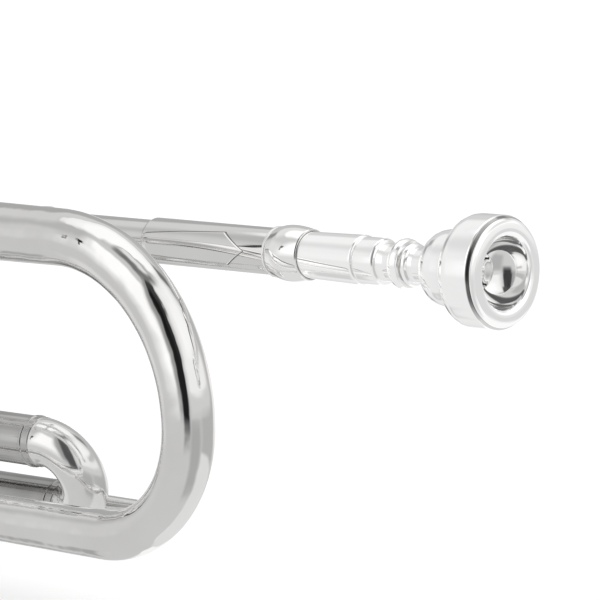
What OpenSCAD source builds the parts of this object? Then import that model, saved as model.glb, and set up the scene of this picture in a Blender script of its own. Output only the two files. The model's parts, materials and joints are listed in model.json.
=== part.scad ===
// Flugelhorn in B flat: bell, bows, three piston valves, slides, leadpipe and mouthpiece.
// Frame: origin at the centre of the bell mouth plane, +X along the bell axis towards the
// player, +Z up towards the finger buttons, +Y to the player's right. Millimetres.

/* [Mouthpiece] */
// Outside diameter of the mouthpiece rim
rim_d = 27.5; // [26.5:0.1:28.5]
// Inside diameter of the rim at the bite
bite_d = 17.6; // [16:0.1:18]
// Diameter of the throat
throat_d = 4.2; // [3.8:0.1:4.8]

/* [Leadpipe] */
// Outside diameter of the leadpipe
leadpipe_d = 10.3; // [10.2:0.05:10.6]
// Outside diameter of the sleeve between leadpipe and receiver
sleeve_d = 11.76; // [11.6:0.02:12]
// Largest diameter of the receiver's bulged collar
collar_d = 14.1; // [13.6:0.1:15]

/* [Bell] */
// Diameter of the bell mouth
bell_d = 152; // [146:1:156]
// Wall of the bell and of the bows
wall = 0.6; // [0.5:0.05:0.8]

/* [Valves] */
// Distance between neighbouring valve axes
valve_pitch = 23.5; // [23:0.1:24]
// Outside diameter of a piston
piston_d = 17; // [16.8:0.05:17]
// Valve travel
valve_travel = 16.5; // [15:0.1:16.5]
// Outside diameter of a valve casing
casing_d = 20.6; // [20.2:0.1:20.8]

/* [Buttons] */
// Diameter of a finger button
button_d = 15; // [14:0.1:16]

/* [Hidden] */
$fn = 64;

gap = 0.03;              // running clearance on a radius
tiny = 0.02;             // clearance between soldered pieces

// main stations
mouth_x = 470;           // front plane of the mouthpiece rim
lp_y = 28;               // leadpipe and valve plane
lp_z = -2.56;            // leadpipe height
v_x = [232, 232 - valve_pitch, 232 - 2 * valve_pitch];
v_y = lp_y;
casing_top = 15;
casing_bot = -96;
cr = casing_d / 2;
pr = piston_d / 2;

// rear bow: two quarter bends in the plane y = 0
bow_x = 392.29;
bow_ru = 44.52;
bow_h = 73.67;
bow_rl = bow_h - bow_ru;
bow_rm = 6.6;            // tube radius at the rearmost point
bow_gu = 0.00903;        // growth of the radius per millimetre, towards the bell
bow_gl = 0.00869;        // loss of the radius per millimetre, towards the valves
bell_x1 = 276;           // joint between bell stem and rear bow
low_x1 = 256;            // joint between rear bow and lower branch
low_r = bow_rm - bow_gl * (PI * bow_rl / 2 + bow_x - bow_rl - low_x1);

// first slide
s1_y = 24;
s1_z = -57.65;
s1_R = 9.81;
s1_tilt = 24.4;
s1_y2 = s1_y + 2 * s1_R * sin(s1_tilt);
s1_z2 = s1_z - 2 * s1_R * cos(s1_tilt);
s1_x = 313.7;            // end of the outer sleeves
s1_xc = 317.14;          // centre of the crook
sl_ro = 6.6;             // outer sleeve
sl_ri = 6.05;
in_ro = sl_ri - gap;     // inner tube
in_ri = 5.4;
ck_r = 6.1;              // crook

// second slide
s2_z = -46;
s2_R = 10;
s2_y = 53;               // end of the outer sleeves
s2_yc = 57;

// third slide
s3_y = 38.5;
s3_z = -36;
s3_R = 18;
s3_x = 112;              // end of the outer sleeves
s3_xc = 78;

// valve inner heights
port_in_z = -23;
piston_bot = -78.9;
piston_top = -14;
barrel_top = 13;
guide_z = -13;
cap_top = 18.5;
button_z = 39;

/* ---------- helpers ---------- */
module along_x(x, y, z) translate([x, y, z]) rotate([0, 90, 0]) children();
module along_y(x, y, z) translate([x, y, z]) rotate([-90, 0, 0]) children();

module tube(h, ro, ri) difference() {
  cylinder(h = h, r = ro);
  translate([0, 0, -1]) cylinder(h = h + 2, r = ri);
}
module cone_tube(h, r1, r2, w) {
  g = (r2 - r1) / h;
  difference() {
    cylinder(h = h, r1 = r1, r2 = r2);
    translate([0, 0, -1]) cylinder(h = h + 2, r1 = r1 - w - g, r2 = r2 - w + g);
  }
}
module half_ring(R, r, ri, a = 180) rotate_extrude(angle = a) translate([R, 0]) difference() {
  circle(r = r);
  circle(r = ri);
}
module casings_cut(extra) for (x = v_x) translate([x, v_y, -110]) cylinder(h = 140, r = cr + extra);

// tube swept along stations [x, z, tangent angle, radius, wall if not w] in the plane y = 0
module swept_tube(S, w, n) {
  m = len(S);
  function ring(s, r) = [for (k = [0 : n - 1]) let (a = 360 * k / n)
    [s[0] - sin(s[2]) * r * cos(a), r * sin(a), s[1] + cos(s[2]) * r * cos(a)]];
  pts = concat([for (s = S) each ring(s, s[3])], [for (s = S) each ring(s, s[3] - (s[4] == undef ? w : s[4]))]);
  o = m * n;
  skin = [for (i = [0 : m - 2], k = [0 : n - 1]) let (a = i * n + k, b = i * n + (k + 1) % n)
    each [[a, b, b + n], [a, b + n, a + n]]];
  bore = [for (i = [0 : m - 2], k = [0 : n - 1]) let (a = o + i * n + k, b = o + i * n + (k + 1) % n)
    each [[a, b + n, b], [a, a + n, b + n]]];
  end0 = [for (k = [0 : n - 1]) let (a = k, b = (k + 1) % n) each [[a, o + a, o + b], [a, o + b, b]]];
  q = (m - 1) * n;
  end1 = [for (k = [0 : n - 1]) let (a = q + k, b = q + (k + 1) % n) each [[a, o + b, o + a], [a, b, o + b]]];
  polyhedron(points = pts, faces = concat(skin, bore, end0, end1), convexity = 6);
}

// closed coil with its axis on Z
module coil(R, r, h, turns, per, n) {
  m = turns * per;
  pts = [for (i = [0 : m]) let (a = 360 * i / per, z = r + (h - 2 * r) * i / m)
    for (k = [0 : n - 1]) let (b = 360 * k / n)
      [(R + r * cos(b)) * cos(a), (R + r * cos(b)) * sin(a), z + r * sin(b)]];
  skin = [for (i = [0 : m - 1], k = [0 : n - 1]) let (a = i * n + k, b = i * n + (k + 1) % n)
    each [[a, b + n, b], [a, a + n, b + n]]];
  polyhedron(points = pts, convexity = 10,
    faces = concat([[for (k = [0 : n - 1]) k]], skin, [[for (k = [n - 1 : -1 : 0]) m * n + k]]));
}

/* ---------- mouthpiece and leadpipe ---------- */
// points [radius, distance behind the rim's front plane]
rr = rim_d / 2;
br = bite_d / 2;
function mp_out() = concat(
  [[10.6, 0], [rr - 2.5, 0.06], [rr - 1.75, 0.2], [rr - 1.15, 0.44], [rr - 0.72, 0.8], [rr - 0.7, 0.98], [rr - 0.82, 1.12], [rr - 0.68, 1.22],
   [rr - 0.12, 1.84], [rr, 2.15], [rr, 8.2], [rr - 0.12, 9.2], [rr - 0.5, 10.2], [rr - 1.1, 11.0], [rr - 1.6, 11.3], [9.5, 11.35]],
  [[9.45, 16.4], [9.35, 17.6], [9.12, 18.8], [8.75, 19.8], [8.15, 20.8], [7.3, 21.7], [6.2, 22.4], [4.85, 22.95]],
  [[4.4, 24.2], [4.25, 26.6], [4.45, 27.9], [5.05, 28.3], [5.3, 28.9], [5.05, 29.5], [4.5, 29.8], [4.9, 30.0],
   [5.75, 30.3], [6.1, 31.1], [6.2, 31.7], [6.05, 32.4], [5.6, 33.1], [4.7, 33.5], [4.6, 35.6], [4.85, 37.6], [5.35, 37.9],
   [5.6, 38.2], [5.75, 38.5], [5.8, 43.9], [5.55, 44.1], [5.55, 44.5], [5.95, 44.7], [6.14, 45.1], [6.12, 46], [5.8, 62.2], [5.42, 77.6], [5.2, 78]]);
// bore, throat, bowl-shaped cup and the rounding of the bite
function mp_in() = concat(
  [[4.3, 78], [throat_d / 2 + 0.45, 40], [throat_d / 2, 24], [throat_d / 2, 15.5], [throat_d / 2 + 0.12, 13.6], [throat_d / 2 + 0.5, 11.4], [throat_d / 2 + 1.1, 9.8],
   [throat_d / 2 + 1.75, 8.75]],
  [for (a = [62 : -6 : 8]) [(br - 0.1) * cos(a) + 0.12, 0.35 + (br - 0.1) * sin(a)]],
  [[br - 0.02, 0.85], [br + 0.16, 0.5], [br + 0.55, 0.22], [br + 1.1, 0.05]]);
module mouthpiece() color([0.93, 0.93, 0.92])
  along_x(mouth_x, lp_y, lp_z) mirror([0, 0, 1]) rotate_extrude($fn = 96) polygon(concat(mp_out(), mp_in()));

kr = collar_d / 2;
module mouthpiece_receiver() color([0.88, 0.88, 0.88])
  along_x(mouth_x, lp_y, lp_z) mirror([0, 0, 1]) rotate_extrude($fn = 96) polygon(concat(
    [[6.2, 62.3], [6.42, 62.6], [6.6, 63.6], [6.82, 65], [7.0, 66.6], [kr, 68], [kr - 0.02, 69.2], [kr - 0.16, 70.4], [kr - 0.42, 71.5],
     [6.45, 72.3], [6.15, 72.6], [6.15, 72.8], [6.42, 72.95], [6.42, 73.5], [6.1, 73.7]],
    [[5.52 + gap, 73.7], [5.8 + gap, 62.3]]));

sr = sleeve_d / 2;
lr = leadpipe_d / 2;
module leadpipe_sleeve() color([0.8, 0.8, 0.8])
  along_x(mouth_x, lp_y, lp_z) mirror([0, 0, 1]) rotate_extrude($fn = 96) polygon(
    [[5.53 + gap, 73.7], [sr, 73.7], [sr, 115.3], [sr - 0.3, 116], [lr + tiny, 116], [lr + tiny, 79], [5.42 + gap, 78.2]]);

// pointed reinforcement plate on the player's left, wrapped on the sleeve and widening towards its point
module spear_plate() color([0.84, 0.84, 0.84]) intersection() {
  along_x(mouth_x - 115.2, lp_y, lp_z) tube(38, sr + 0.42, sr + tiny);
  translate([0, lp_y - 3.6, 0]) rotate([90, 0, 0]) linear_extrude(height = 6)
    polygon([[mouth_x - 115.2, lp_z - 2.9], [mouth_x - 86.4, lp_z - 3.6], [mouth_x - 80.2, lp_z + 0.15],
      [mouth_x - 87.7, lp_z + 4.2], [mouth_x - 102, lp_z + 3.5], [mouth_x - 115.2, lp_z + 2.4]]);
}
module leadpipe() color([0.8, 0.8, 0.8])
  along_x(300, lp_y, lp_z) cone_tube(mouth_x - 79.2 - 300, lr, lr, 0.6);

// fixed outer tube of the tuning pull, with the boss of its lock screw
module tuning_sleeve() color([0.78, 0.78, 0.78]) difference() {
  union() {
    along_x(294.5, lp_y, lp_z) cylinder(h = 21, r = 6.1);
    along_x(313, lp_y, lp_z) cylinder(h = 2.5, r = 6.25);
    along_y(302, lp_y + 3, lp_z) cylinder(h = 6.4, r = 2.5);
  }
  along_x(290, lp_y, lp_z) cylinder(h = 40, r = lr + gap);
  along_y(302, lp_y, lp_z) cylinder(h = 14, r = 1.3 + gap);
}
module tuning_lock_screw() color([0.8, 0.8, 0.8]) along_y(302, lp_y + lr + 0.35, lp_z) {
  cylinder(h = 5.2, r = 1.3);
  translate([0, 0, 4.3]) cylinder(h = 1.2, r = 2.0);
  translate([0, 0, 5.2]) cylinder(h = 4.4, r = 2.7);
}
br_R = 26.7;
br_a = 51.9;
br_x = 294.2;
br_x2 = br_x - 2 * br_R * sin(br_a);
// runs from inside the tuning sleeve down an S bend and into the first valve
br_path = concat(
  [[299, lp_z, 180, lr - 0.01, 0.5], [292.42, lp_z, 180, lr - 0.01, 0.5], [292.4, lp_z, 180, 5.5]],
  [for (i = [0 : 7]) let (a = i * br_a / 7) [br_x - br_R * sin(a), lp_z - br_R + br_R * cos(a), 180 + a, 5.5]],
  [for (i = [6 : -1 : 0]) let (a = i * br_a / 7) [br_x2 + br_R * sin(a), port_in_z + br_R - br_R * cos(a), 180 + a, 5.5]],
  [[250.02, port_in_z, 180, 5.5], [250, port_in_z, 180, 6.0, 1.2], [246, port_in_z, 180, 6.0, 1.2], [245.98, port_in_z, 180, 5.5], [238, port_in_z, 180, 5.5]]);
module mouthpipe_branch() color([0.78, 0.78, 0.78]) difference() {
  translate([0, lp_y, 0]) swept_tube(br_path, 0.7, 32);
  casings_cut(tiny + 0.01);
}

/* ---------- bell and bows ---------- */
function bell_r(x) = bow_rm + bow_gu * (PI * bow_ru / 2 + bow_x - bow_ru - x)
  + 24.5 * (bell_d / 152) * exp(-x / 8.5) + 43.65 * (bell_d / 152) * exp(-x / 52) * (1 - x / bell_x1);
bx = concat([for (i = [0 : 9]) 1.2 + i * 1.6], [for (i = [0 : 9]) 17.5 + i * 4.5], [for (i = [0 : 9]) 66 + i * 12], [190, 215, 245, bell_x1]);
module bell() color([0.82, 0.82, 0.81]) along_x(0, 0, 0) rotate_extrude($fn = 128) polygon(concat(
    [for (x = bx) [bell_r(x), x]],
    [for (i = [len(bx) - 1 : -1 : 0]) let (x = bx[i], g = (bell_r(x + 0.5) - bell_r(x)) / 0.5, k = wall * sqrt(1 + g * g)) [bell_r(x) - (i < 4 ? wall * 1.5 : min(k, 3)), x]]));
rim_in = bell_r(1.2) - 1.2;
module bell_rim_wire() color([0.86, 0.86, 0.85]) along_x(0, 0, 0) rotate_extrude($fn = 128) polygon(
  [[rim_in, 0], [rim_in + 2.6, 0], [rim_in + 3.3, 0.5], [rim_in + 3.6, 1.3], [rim_in + 3.3, 2.2], [rim_in + 2.5, 2.7],
   [rim_in + 1.5, 2.75], [rim_in + 1.28, 1.2 - tiny], [rim_in - 0.4, 1.2 - tiny], [rim_in - 0.4, 0.4]]);
bell_end_r = bell_r(bell_x1);
module bell_ferrule() color([0.85, 0.85, 0.85]) along_x(bell_x1 - 7, 0, 0) difference() {
  union() {
    cylinder(h = 14, r = bell_end_r + 0.75);
    cylinder(h = 1.6, r = bell_end_r + 1.15);
    translate([0, 0, 12.4]) cylinder(h = 1.6, r = bell_end_r + 1.15);
  }
  translate([0, 0, -1]) cylinder(h = 16, r = bell_end_r + 0.12);
}
bow_path = concat(
  [for (x = [bell_x1 + tiny, 300, 324]) [x, 0, 0, bow_rm + bow_gu * (PI * bow_ru / 2 + bow_x - bow_ru - x)]],
  [for (i = [0 : 14]) let (a = 90 - i * 90 / 14)
    [bow_x - bow_ru + bow_ru * cos(a), -bow_ru + bow_ru * sin(a), a - 90, bow_rm + bow_gu * bow_ru * a * PI / 180]],
  [for (i = [1 : 12]) let (a = -i * 90 / 12)
    [bow_x - bow_rl + bow_rl * cos(a), -bow_ru + bow_rl * sin(a), a - 90, bow_rm + bow_gl * bow_rl * a * PI / 180]],
  [for (x = [330, 295, low_x1 + tiny]) [x, -bow_h, -180, bow_rm - bow_gl * (PI * bow_rl / 2 + bow_x - bow_rl - x)]]);
module rear_bow() color([0.7, 0.7, 0.7]) swept_tube(bow_path, wall, 32);

fb_x = 140;
fb_y = 24;
fb_z = -38;
fb_R = sqrt(fb_y * fb_y + (fb_z + bow_h) * (fb_z + bow_h)) / 2;
fb_tilt = atan2(fb_y, fb_z + bow_h);
module lower_branch() color([0.78, 0.78, 0.78])
  along_x(fb_x + tiny, 0, -bow_h) tube(low_x1 - fb_x - 2 * tiny, low_r, low_r - wall);
// U bend from the lower branch up and across towards the third valve
module front_bow() color([0.8, 0.8, 0.8])
  translate([fb_x, fb_y / 2, (fb_z - bow_h) / 2]) rotate([-fb_tilt, 0, 0]) rotate([90, 0, 0]) rotate([0, 0, 90])
    half_ring(fb_R, low_r, low_r - wall);
module front_branch() color([0.78, 0.78, 0.78]) difference() {
  along_x(fb_x + tiny, fb_y, fb_z) tube(44, low_r, low_r - wall);
  casings_cut(tiny);
}
module banded_ferrule(h, r, ri) difference() {
  union() {
    cylinder(h = h, r = r);
    cylinder(h = 1.4, r = r + 0.4);
    translate([0, 0, h - 1.4]) cylinder(h = 1.4, r = r + 0.4);
  }
  translate([0, 0, -1]) cylinder(h = h + 2, r = ri);
}
module branch_ferrules() color([0.85, 0.85, 0.85]) {
  along_x(low_x1 - 6, 0, -bow_h) banded_ferrule(12, low_r + 0.75, low_r + 0.1);
  along_x(fb_x - 0.5, 0, -bow_h) banded_ferrule(10, low_r + 0.75, low_r + 0.06);
  along_x(fb_x - 0.5, fb_y, fb_z) banded_ferrule(10, low_r + 0.75, low_r + 0.06);
}

/* ---------- valves ---------- */
module casing(i, holes) color([0.8, 0.8, 0.8]) difference() {
  translate([v_x[i], v_y, 0]) union() {
    translate([0, 0, casing_bot]) cylinder(h = casing_top - casing_bot, r = cr, $fn = 96);
    translate([0, 0, 5.2]) cylinder(h = 2.4, r = cr + 0.5, $fn = 96);
    translate([0, 0, casing_bot + 9]) cylinder(h = 2.4, r = cr + 0.5, $fn = 96);
  }
  translate([v_x[i], v_y, casing_bot - 1]) cylinder(h = 120, r = pr + gap, $fn = 96);
  // keyways for the guide's tips
  translate([v_x[i] - 2.15, v_y - 9.45, guide_z]) cube([4.3, 18.9, 40]);
  for (h = holes) translate([v_x[i], v_y, 0]) translate([h[0], h[1], h[2]]) rotate(h[3]) cylinder(h = 16, r = h[4]);
}
XP = [0, 90, 0];
XM = [0, -90, 0];
YP = [-90, 0, 0];
module valve_1_casing() casing(0, [[0, 0, port_in_z, XP, 4.8], [0, s1_y - v_y, s1_z, XP, 5.2], [0, s1_y2 - v_y, s1_z2, XP, 5.2], [0, 0, -40, XM, 4.8]]);
module valve_2_casing() casing(1, [[0, 0, -40, XP, 4.8], [0, 0, -56, XM, 4.8], [0, 0, s2_z, YP, 5.0], [0, 0, s2_z - 2 * s2_R, YP, 5.0]]);
module valve_3_casing() casing(2, [[0, 0, -56, XP, 4.8], [0, fb_y - v_y, fb_z, XM, low_r - wall], [0, 6.5, s3_z, XM, 2.8], [0, 6.5, s3_z - 2 * s3_R, XM, 2.8]]);
module valve_crossovers() color([0.78, 0.78, 0.78]) difference() {
  union() {
    along_x(v_x[1] + 6, v_y, -40) cylinder(h = valve_pitch - 12, r = 5.6);
    along_x(v_x[2] + 6, v_y, -56) cylinder(h = valve_pitch - 12, r = 5.6);
  }
  along_x(v_x[1], v_y, -40) cylinder(h = valve_pitch, r = 4.8);
  along_x(v_x[2], v_y, -56) cylinder(h = valve_pitch, r = 4.8);
  casings_cut(tiny);
}
module piston(i) color([0.74, 0.75, 0.76]) translate([v_x[i], v_y, 0]) difference() {
  union() {
    translate([0, 0, piston_bot]) cylinder(h = barrel_top - piston_bot, r = pr, $fn = 96);
  }
  // spring barrel and its two slots for the guide
  translate([0, 0, piston_top]) cylinder(h = barrel_top - 1.5 - piston_top, r = pr - 1);
  translate([-2.2, -12, piston_top + 0.8]) cube([4.4, 24, valve_travel + 4.4]);
  translate([0, 0, barrel_top - 3]) cylinder(h = 6, r = 2.05);
  // wind passages
  translate([-12, 0, -23]) rotate([0, 90, 0]) cylinder(h = 24, r = 4.8);
  translate([-12, 0, i == 1 ? -48 : -40]) rotate([0, 90, 0]) cylinder(h = 24, r = 4.8);
  translate([0, 0, -62]) rotate([0, 75, i == 1 ? 90 : 0]) translate([0, 0, -14]) cylinder(h = 28, r = 4.8);
  // hollow lower end
  translate([0, 0, piston_bot - 1]) cylinder(h = 6, r = 6.6);
}
module piston_1() piston(0);
module piston_2() piston(1);
module piston_3() piston(2);
module valve_guides() color([0.9, 0.9, 0.86]) for (x = v_x) translate([x, v_y, guide_z + tiny]) difference() {
  union() {
    cylinder(h = 2.6, r = pr - 1.15);
    translate([-2.05, -9.35, 0]) cube([4.1, 18.7, 2.6]);
  }
  translate([0, 0, -1]) cylinder(h = 5, r = 3);
}
spring_z = guide_z + 2.6 + 2 * tiny;
spring_h = barrel_top - 1.5 - spring_z - tiny;
module spring(i) color([0.7, 0.7, 0.7]) translate([v_x[i], v_y, spring_z]) coil(5.6, 0.42, spring_h, 6, 14, 6);
module valve_spring_1() spring(0);
module valve_spring_2() spring(1);
module valve_spring_3() spring(2);
module stem(i) color([0.86, 0.86, 0.86]) translate([v_x[i], v_y, 0]) difference() {
  union() {
    translate([0, 0, barrel_top - 1.4]) cylinder(h = 3, r = 2.0);
    translate([0, 0, barrel_top + tiny]) cylinder(h = button_z + 1 - barrel_top, r = 2.8);
    translate([0, 0, button_z]) rotate_extrude() polygon([[0, 0], [4, 0], [button_d / 2 - 0.8, 0.9], [button_d / 2, 1.7],
      [button_d / 2, 2.9], [button_d / 2 - 0.5, 3.5], [0, 3.5]]);
  }
  translate([0, 0, button_z + 2.3]) cylinder(h = 3, r = 6);
}
module stem_1() stem(0);
module stem_2() stem(1);
module stem_3() stem(2);
module pearl(i) color([0.95, 0.94, 0.9]) translate([v_x[i], v_y, button_z + 2.3 + tiny]) rotate_extrude()
  polygon([[0, 0], [5.95, 0], [5.95, 0.9], [5.2, 1.35], [3.6, 1.75], [1.8, 1.95], [0, 2.0]]);
module pearl_1() pearl(0);
module pearl_2() pearl(1);
module pearl_3() pearl(2);
module stem_felt(i) color([0.15, 0.15, 0.17]) translate([v_x[i], v_y, button_z - 2.52]) tube(2.5, 5.2, 2.8 + tiny);
module stem_felt_1() stem_felt(0);
module stem_felt_2() stem_felt(1);
module stem_felt_3() stem_felt(2);
module top_caps() color([0.86, 0.86, 0.86]) for (x = v_x) translate([x, v_y, 0]) rotate_extrude($fn = 96) polygon([
  [cr + tiny, 8.6], [cr + 0.95, 8.6], [cr + 1.15, 8.9], [cr + 1.15, 13.6], [cr + 0.8, 14.6], [cr - 0.6, 16.0], [7.2, 17.0],
  [5.4, 17.5], [5.1, cap_top], [3.4, cap_top], [3.4, 15.6], [8.9, 15.6], [8.9, casing_top + tiny], [cr + tiny, casing_top + tiny]]);
module top_cap_felts() color([0.15, 0.15, 0.17]) for (x = v_x) translate([x, v_y, barrel_top + 3 * tiny]) tube(2.45, 7.4, 3.3);
module bottom_caps() color([0.86, 0.86, 0.86]) for (x = v_x) translate([x, v_y, 0]) rotate_extrude($fn = 96) polygon([
  [cr + tiny, casing_bot + 6.5], [cr + 0.95, casing_bot + 6.5], [cr + 1.15, casing_bot + 6.2], [cr + 1.15, casing_bot + 0.6], [cr + 0.7, casing_bot - 0.6],
  [cr - 1.2, casing_bot - 1.5], [4.6, casing_bot - 2.2], [4.2, casing_bot - 4.4], [3.4, casing_bot - 4.8], [1.6, casing_bot - 4.8],
  [1.6, casing_bot - 1.0], [8.6, casing_bot - 0.6], [8.8, casing_bot - tiny], [cr + tiny, casing_bot - tiny]]);

/* ---------- slides ---------- */
module first_slide_sleeves() color([0.72, 0.72, 0.72]) difference() {
  union() {
    along_x(236, s1_y, s1_z) tube(s1_x - 236, sl_ro, sl_ri);
    along_x(236, s1_y2, s1_z2) tube(s1_x - 236, sl_ro, sl_ri);
  }
  casings_cut(tiny);
}
module first_slide_tubes() color([0.8, 0.8, 0.8]) {
  along_x(256, s1_y, s1_z) tube(s1_xc - 256 - tiny, in_ro, in_ri);
  along_x(256, s1_y2, s1_z2) tube(s1_xc - 256 - tiny, in_ro, in_ri);
}
module ring_ferrule(h) difference() {
  union() {
    cylinder(h = h, r = sl_ro);
    cylinder(h = 0.9, r = sl_ro + 0.28);
  }
  translate([0, 0, -1]) cylinder(h = h + 2, r = in_ro + tiny);
}
module first_slide_ferrules() color([0.78, 0.78, 0.78]) {
  along_x(s1_x + tiny, s1_y, s1_z) ring_ferrule(s1_xc - s1_x - 2 * tiny);
  along_x(s1_x + tiny, s1_y2, s1_z2) ring_ferrule(s1_xc - s1_x - 2 * tiny);
}
module first_slide_crook() color([0.68, 0.68, 0.68])
  translate([s1_xc, (s1_y + s1_y2) / 2, (s1_z + s1_z2) / 2]) rotate([s1_tilt, 0, 0]) rotate([90, 0, 0]) rotate([0, 0, -90]) half_ring(s1_R, ck_r, 5.4);

module second_slide_sleeves() color([0.76, 0.76, 0.76]) difference() {
  for (z = [s2_z, s2_z - 2 * s2_R]) along_y(v_x[1], v_y + 4, z) tube(s2_y - v_y - 4, sl_ro, sl_ri);
  casings_cut(tiny);
}
module second_slide_tubes() color([0.8, 0.8, 0.8]) for (z = [s2_z, s2_z - 2 * s2_R]) {
  along_y(v_x[1], 41, z) tube(s2_yc - 41 - tiny, in_ro, in_ri);
  along_y(v_x[1], s2_y + tiny, z) tube(s2_yc - s2_y - 2 * tiny, sl_ro, in_ro + tiny);
}
module second_slide_crook() color([0.8, 0.8, 0.8])
  translate([v_x[1], s2_yc, s2_z - s2_R]) rotate([0, -90, 0]) rotate([0, 0, 0]) half_ring(s2_R, ck_r, 5.4);
module second_slide_knob() color([0.84, 0.84, 0.84]) difference() {
  along_y(v_x[1], s2_yc + s2_R + ck_r - 1.5, s2_z - s2_R) rotate_extrude() polygon([[0, 0], [2.6, 0], [2.6, 2.2], [1.5, 3.0], [1.5, 3.8], [3.0, 4.6], [3.2, 5.8], [2.6, 7.2], [0, 7.7]]);
  translate([v_x[1], s2_yc, s2_z - s2_R]) rotate([0, -90, 0]) rotate([0, 0, -10]) rotate_extrude(angle = 200) translate([s2_R, 0]) circle(r = ck_r + tiny);
}

module third_slide_sleeves() color([0.76, 0.76, 0.76]) difference() {
  for (z = [s3_z, s3_z - 2 * s3_R]) along_x(s3_x, s3_y, z) rotate_extrude() let (L = v_x[2] - s3_x)
    polygon([[sl_ri, 0], [sl_ro, 0], [sl_ro, L - 4], [5.8, L - 1.6], [3.6, L], [0, L + 0.4], [0, L - 6], [sl_ri, L - 6]]);
  casings_cut(tiny);
}
s3_L = s3_x - s3_xc;
module third_slide_tubes() color([0.8, 0.8, 0.8]) for (z = [s3_z, s3_z - 2 * s3_R])
  along_x(s3_xc + tiny, s3_y, z) rotate_extrude() polygon([[5.4, 0], [ck_r, 0], [ck_r, s3_L - 4], [sl_ro, s3_L - 4],
    [sl_ro, s3_L - 2 * tiny], [in_ro, s3_L - 2 * tiny], [in_ro, s3_L + 58], [5.4, s3_L + 58]]);
module third_slide_crook() color([0.8, 0.8, 0.8])
  translate([s3_xc, s3_y, s3_z - s3_R]) rotate([90, 0, 0]) rotate([0, 0, 90]) half_ring(s3_R, ck_r, 5.4);
ring_x = 94;
ring_z = s3_z + 19.4;
module third_slide_ring() color([0.82, 0.82, 0.82]) difference() {
  union() {
    translate([ring_x, s3_y, ring_z]) rotate([90, 0, 0]) rotate_extrude($fn = 96) translate([11.2, 0]) circle(r = 1.7, $fn = 32);
    translate([ring_x, s3_y, s3_z + 3]) cylinder(h = 5.8, r = 2.6);
  }
  along_x(ring_x - 20, s3_y, s3_z) cylinder(h = 40, r = ck_r + tiny);
}

/* ---------- water key on the third slide ---------- */
wk_x = 88;                // pivot
wk_z = s3_z - 2 * s3_R - ck_r - 4.4;
wk_cx = 76;               // drain nipple
module water_key_saddle() color([0.8, 0.8, 0.8]) difference() {
  union() {
    translate([wk_x - 2.4, s3_y - 4.4, wk_z]) cube([4.8, 8.8, 6.4]);
    along_y(wk_x, s3_y - 4.4, wk_z) cylinder(h = 8.8, r = 2.4);
    translate([wk_cx, s3_y, s3_z - 2 * s3_R - ck_r - 1.6]) cylinder(h = 3.6, r = 2.3);
  }
  translate([wk_x - 4, s3_y - 2.55, wk_z - 4]) cube([8, 5.1, 7.2]);
  along_y(wk_x, s3_y - 8, wk_z) cylinder(h = 16, r = 1.0);
  translate([wk_cx, s3_y, s3_z - 2 * s3_R - ck_r - 5]) cylinder(h = 10, r = 1.3);
  along_x(s3_xc - 6, s3_y, s3_z - 2 * s3_R) cylinder(h = 40, r = ck_r + tiny);
}
module water_key_lever() color([0.84, 0.84, 0.84]) difference() {
  union() {
    along_y(wk_x, s3_y - 2.5, wk_z) cylinder(h = 5, r = 2.1);
    translate([wk_cx, s3_y - 1.5, wk_z - 1.1]) cube([wk_x - wk_cx, 3, 1.6]);
    translate([wk_cx, s3_y, wk_z - 1.1]) cylinder(h = 2.1, r = 3.0);
    translate([wk_x, s3_y - 1.5, wk_z - 1.1]) rotate([0, 9, 0]) cube([21, 3, 1.6]);
    translate([wk_x + 20, s3_y, wk_z - 4.7]) rotate([0, 9, 0]) cylinder(h = 1.5, r = 4.6);
  }
  along_y(wk_x, s3_y - 8, wk_z) cylinder(h = 16, r = 1.0 + gap);
  translate([wk_cx, s3_y, wk_z + 0.2]) cylinder(h = 4, r = 2.62);
}
module water_key_cork() color([0.72, 0.56, 0.38])
  translate([wk_cx, s3_y, wk_z + 0.2 + tiny]) cylinder(h = s3_z - 2 * s3_R - ck_r - 1.6 - tiny - wk_z - 0.2 - tiny, r = 2.6);
module water_key_screw() color([0.7, 0.7, 0.7]) along_y(wk_x, s3_y - 4.42, wk_z) {
  cylinder(h = 8.84, r = 0.98);
  translate([0, 0, -0.9]) cylinder(h = 0.9, r = 1.7);
}

/* ---------- braces, stay, hook ---------- */
module post(x, z, y0, y1) along_y(x, y0, z) union() {
  cylinder(h = y1 - y0, r = 1.7);
  cylinder(h = 3.2, r1 = 4.6, r2 = 1.72);
  translate([0, 0, y1 - y0 - 3.2]) cylinder(h = 3.2, r1 = 1.72, r2 = 4.6);
}
module bell_braces() color([0.82, 0.82, 0.82]) difference() {
  union() {
    post(v_x[0], -1, bell_r(v_x[0]) - 1.2, v_y - cr + 1.3);
    post(v_x[2], -1, bell_r(v_x[2]) - 1.2, v_y - cr + 1.3);
  }
  along_x(0, 0, 0) for (i = [len(bx) - 5 : len(bx) - 2])
    translate([0, 0, bx[i]]) cylinder(h = bx[i + 1] - bx[i], r1 = bell_r(bx[i]) + tiny, r2 = bell_r(bx[i + 1]) + tiny);
  casings_cut(tiny);
}
module lower_braces() color([0.82, 0.82, 0.82]) difference() {
  for (i = [0, 2]) post(v_x[i], -bow_h, low_r - 1, v_y - cr + 1.3);
  along_x(150, 0, -bow_h) cylinder(h = 100, r = low_r + tiny);
  casings_cut(tiny);
}
module leadpipe_brace() color([0.82, 0.82, 0.82]) difference() {
  post(306, lp_z, bell_r(bell_x1) - 2, lp_y - 5);
  along_x(290, lp_y, lp_z) cylinder(h = 40, r = 6.1 + tiny);
  along_x(280, 0, 0) cylinder(h = 44, r1 = 7.98, r2 = 7.98 - 44 * bow_gu);
}
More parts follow.
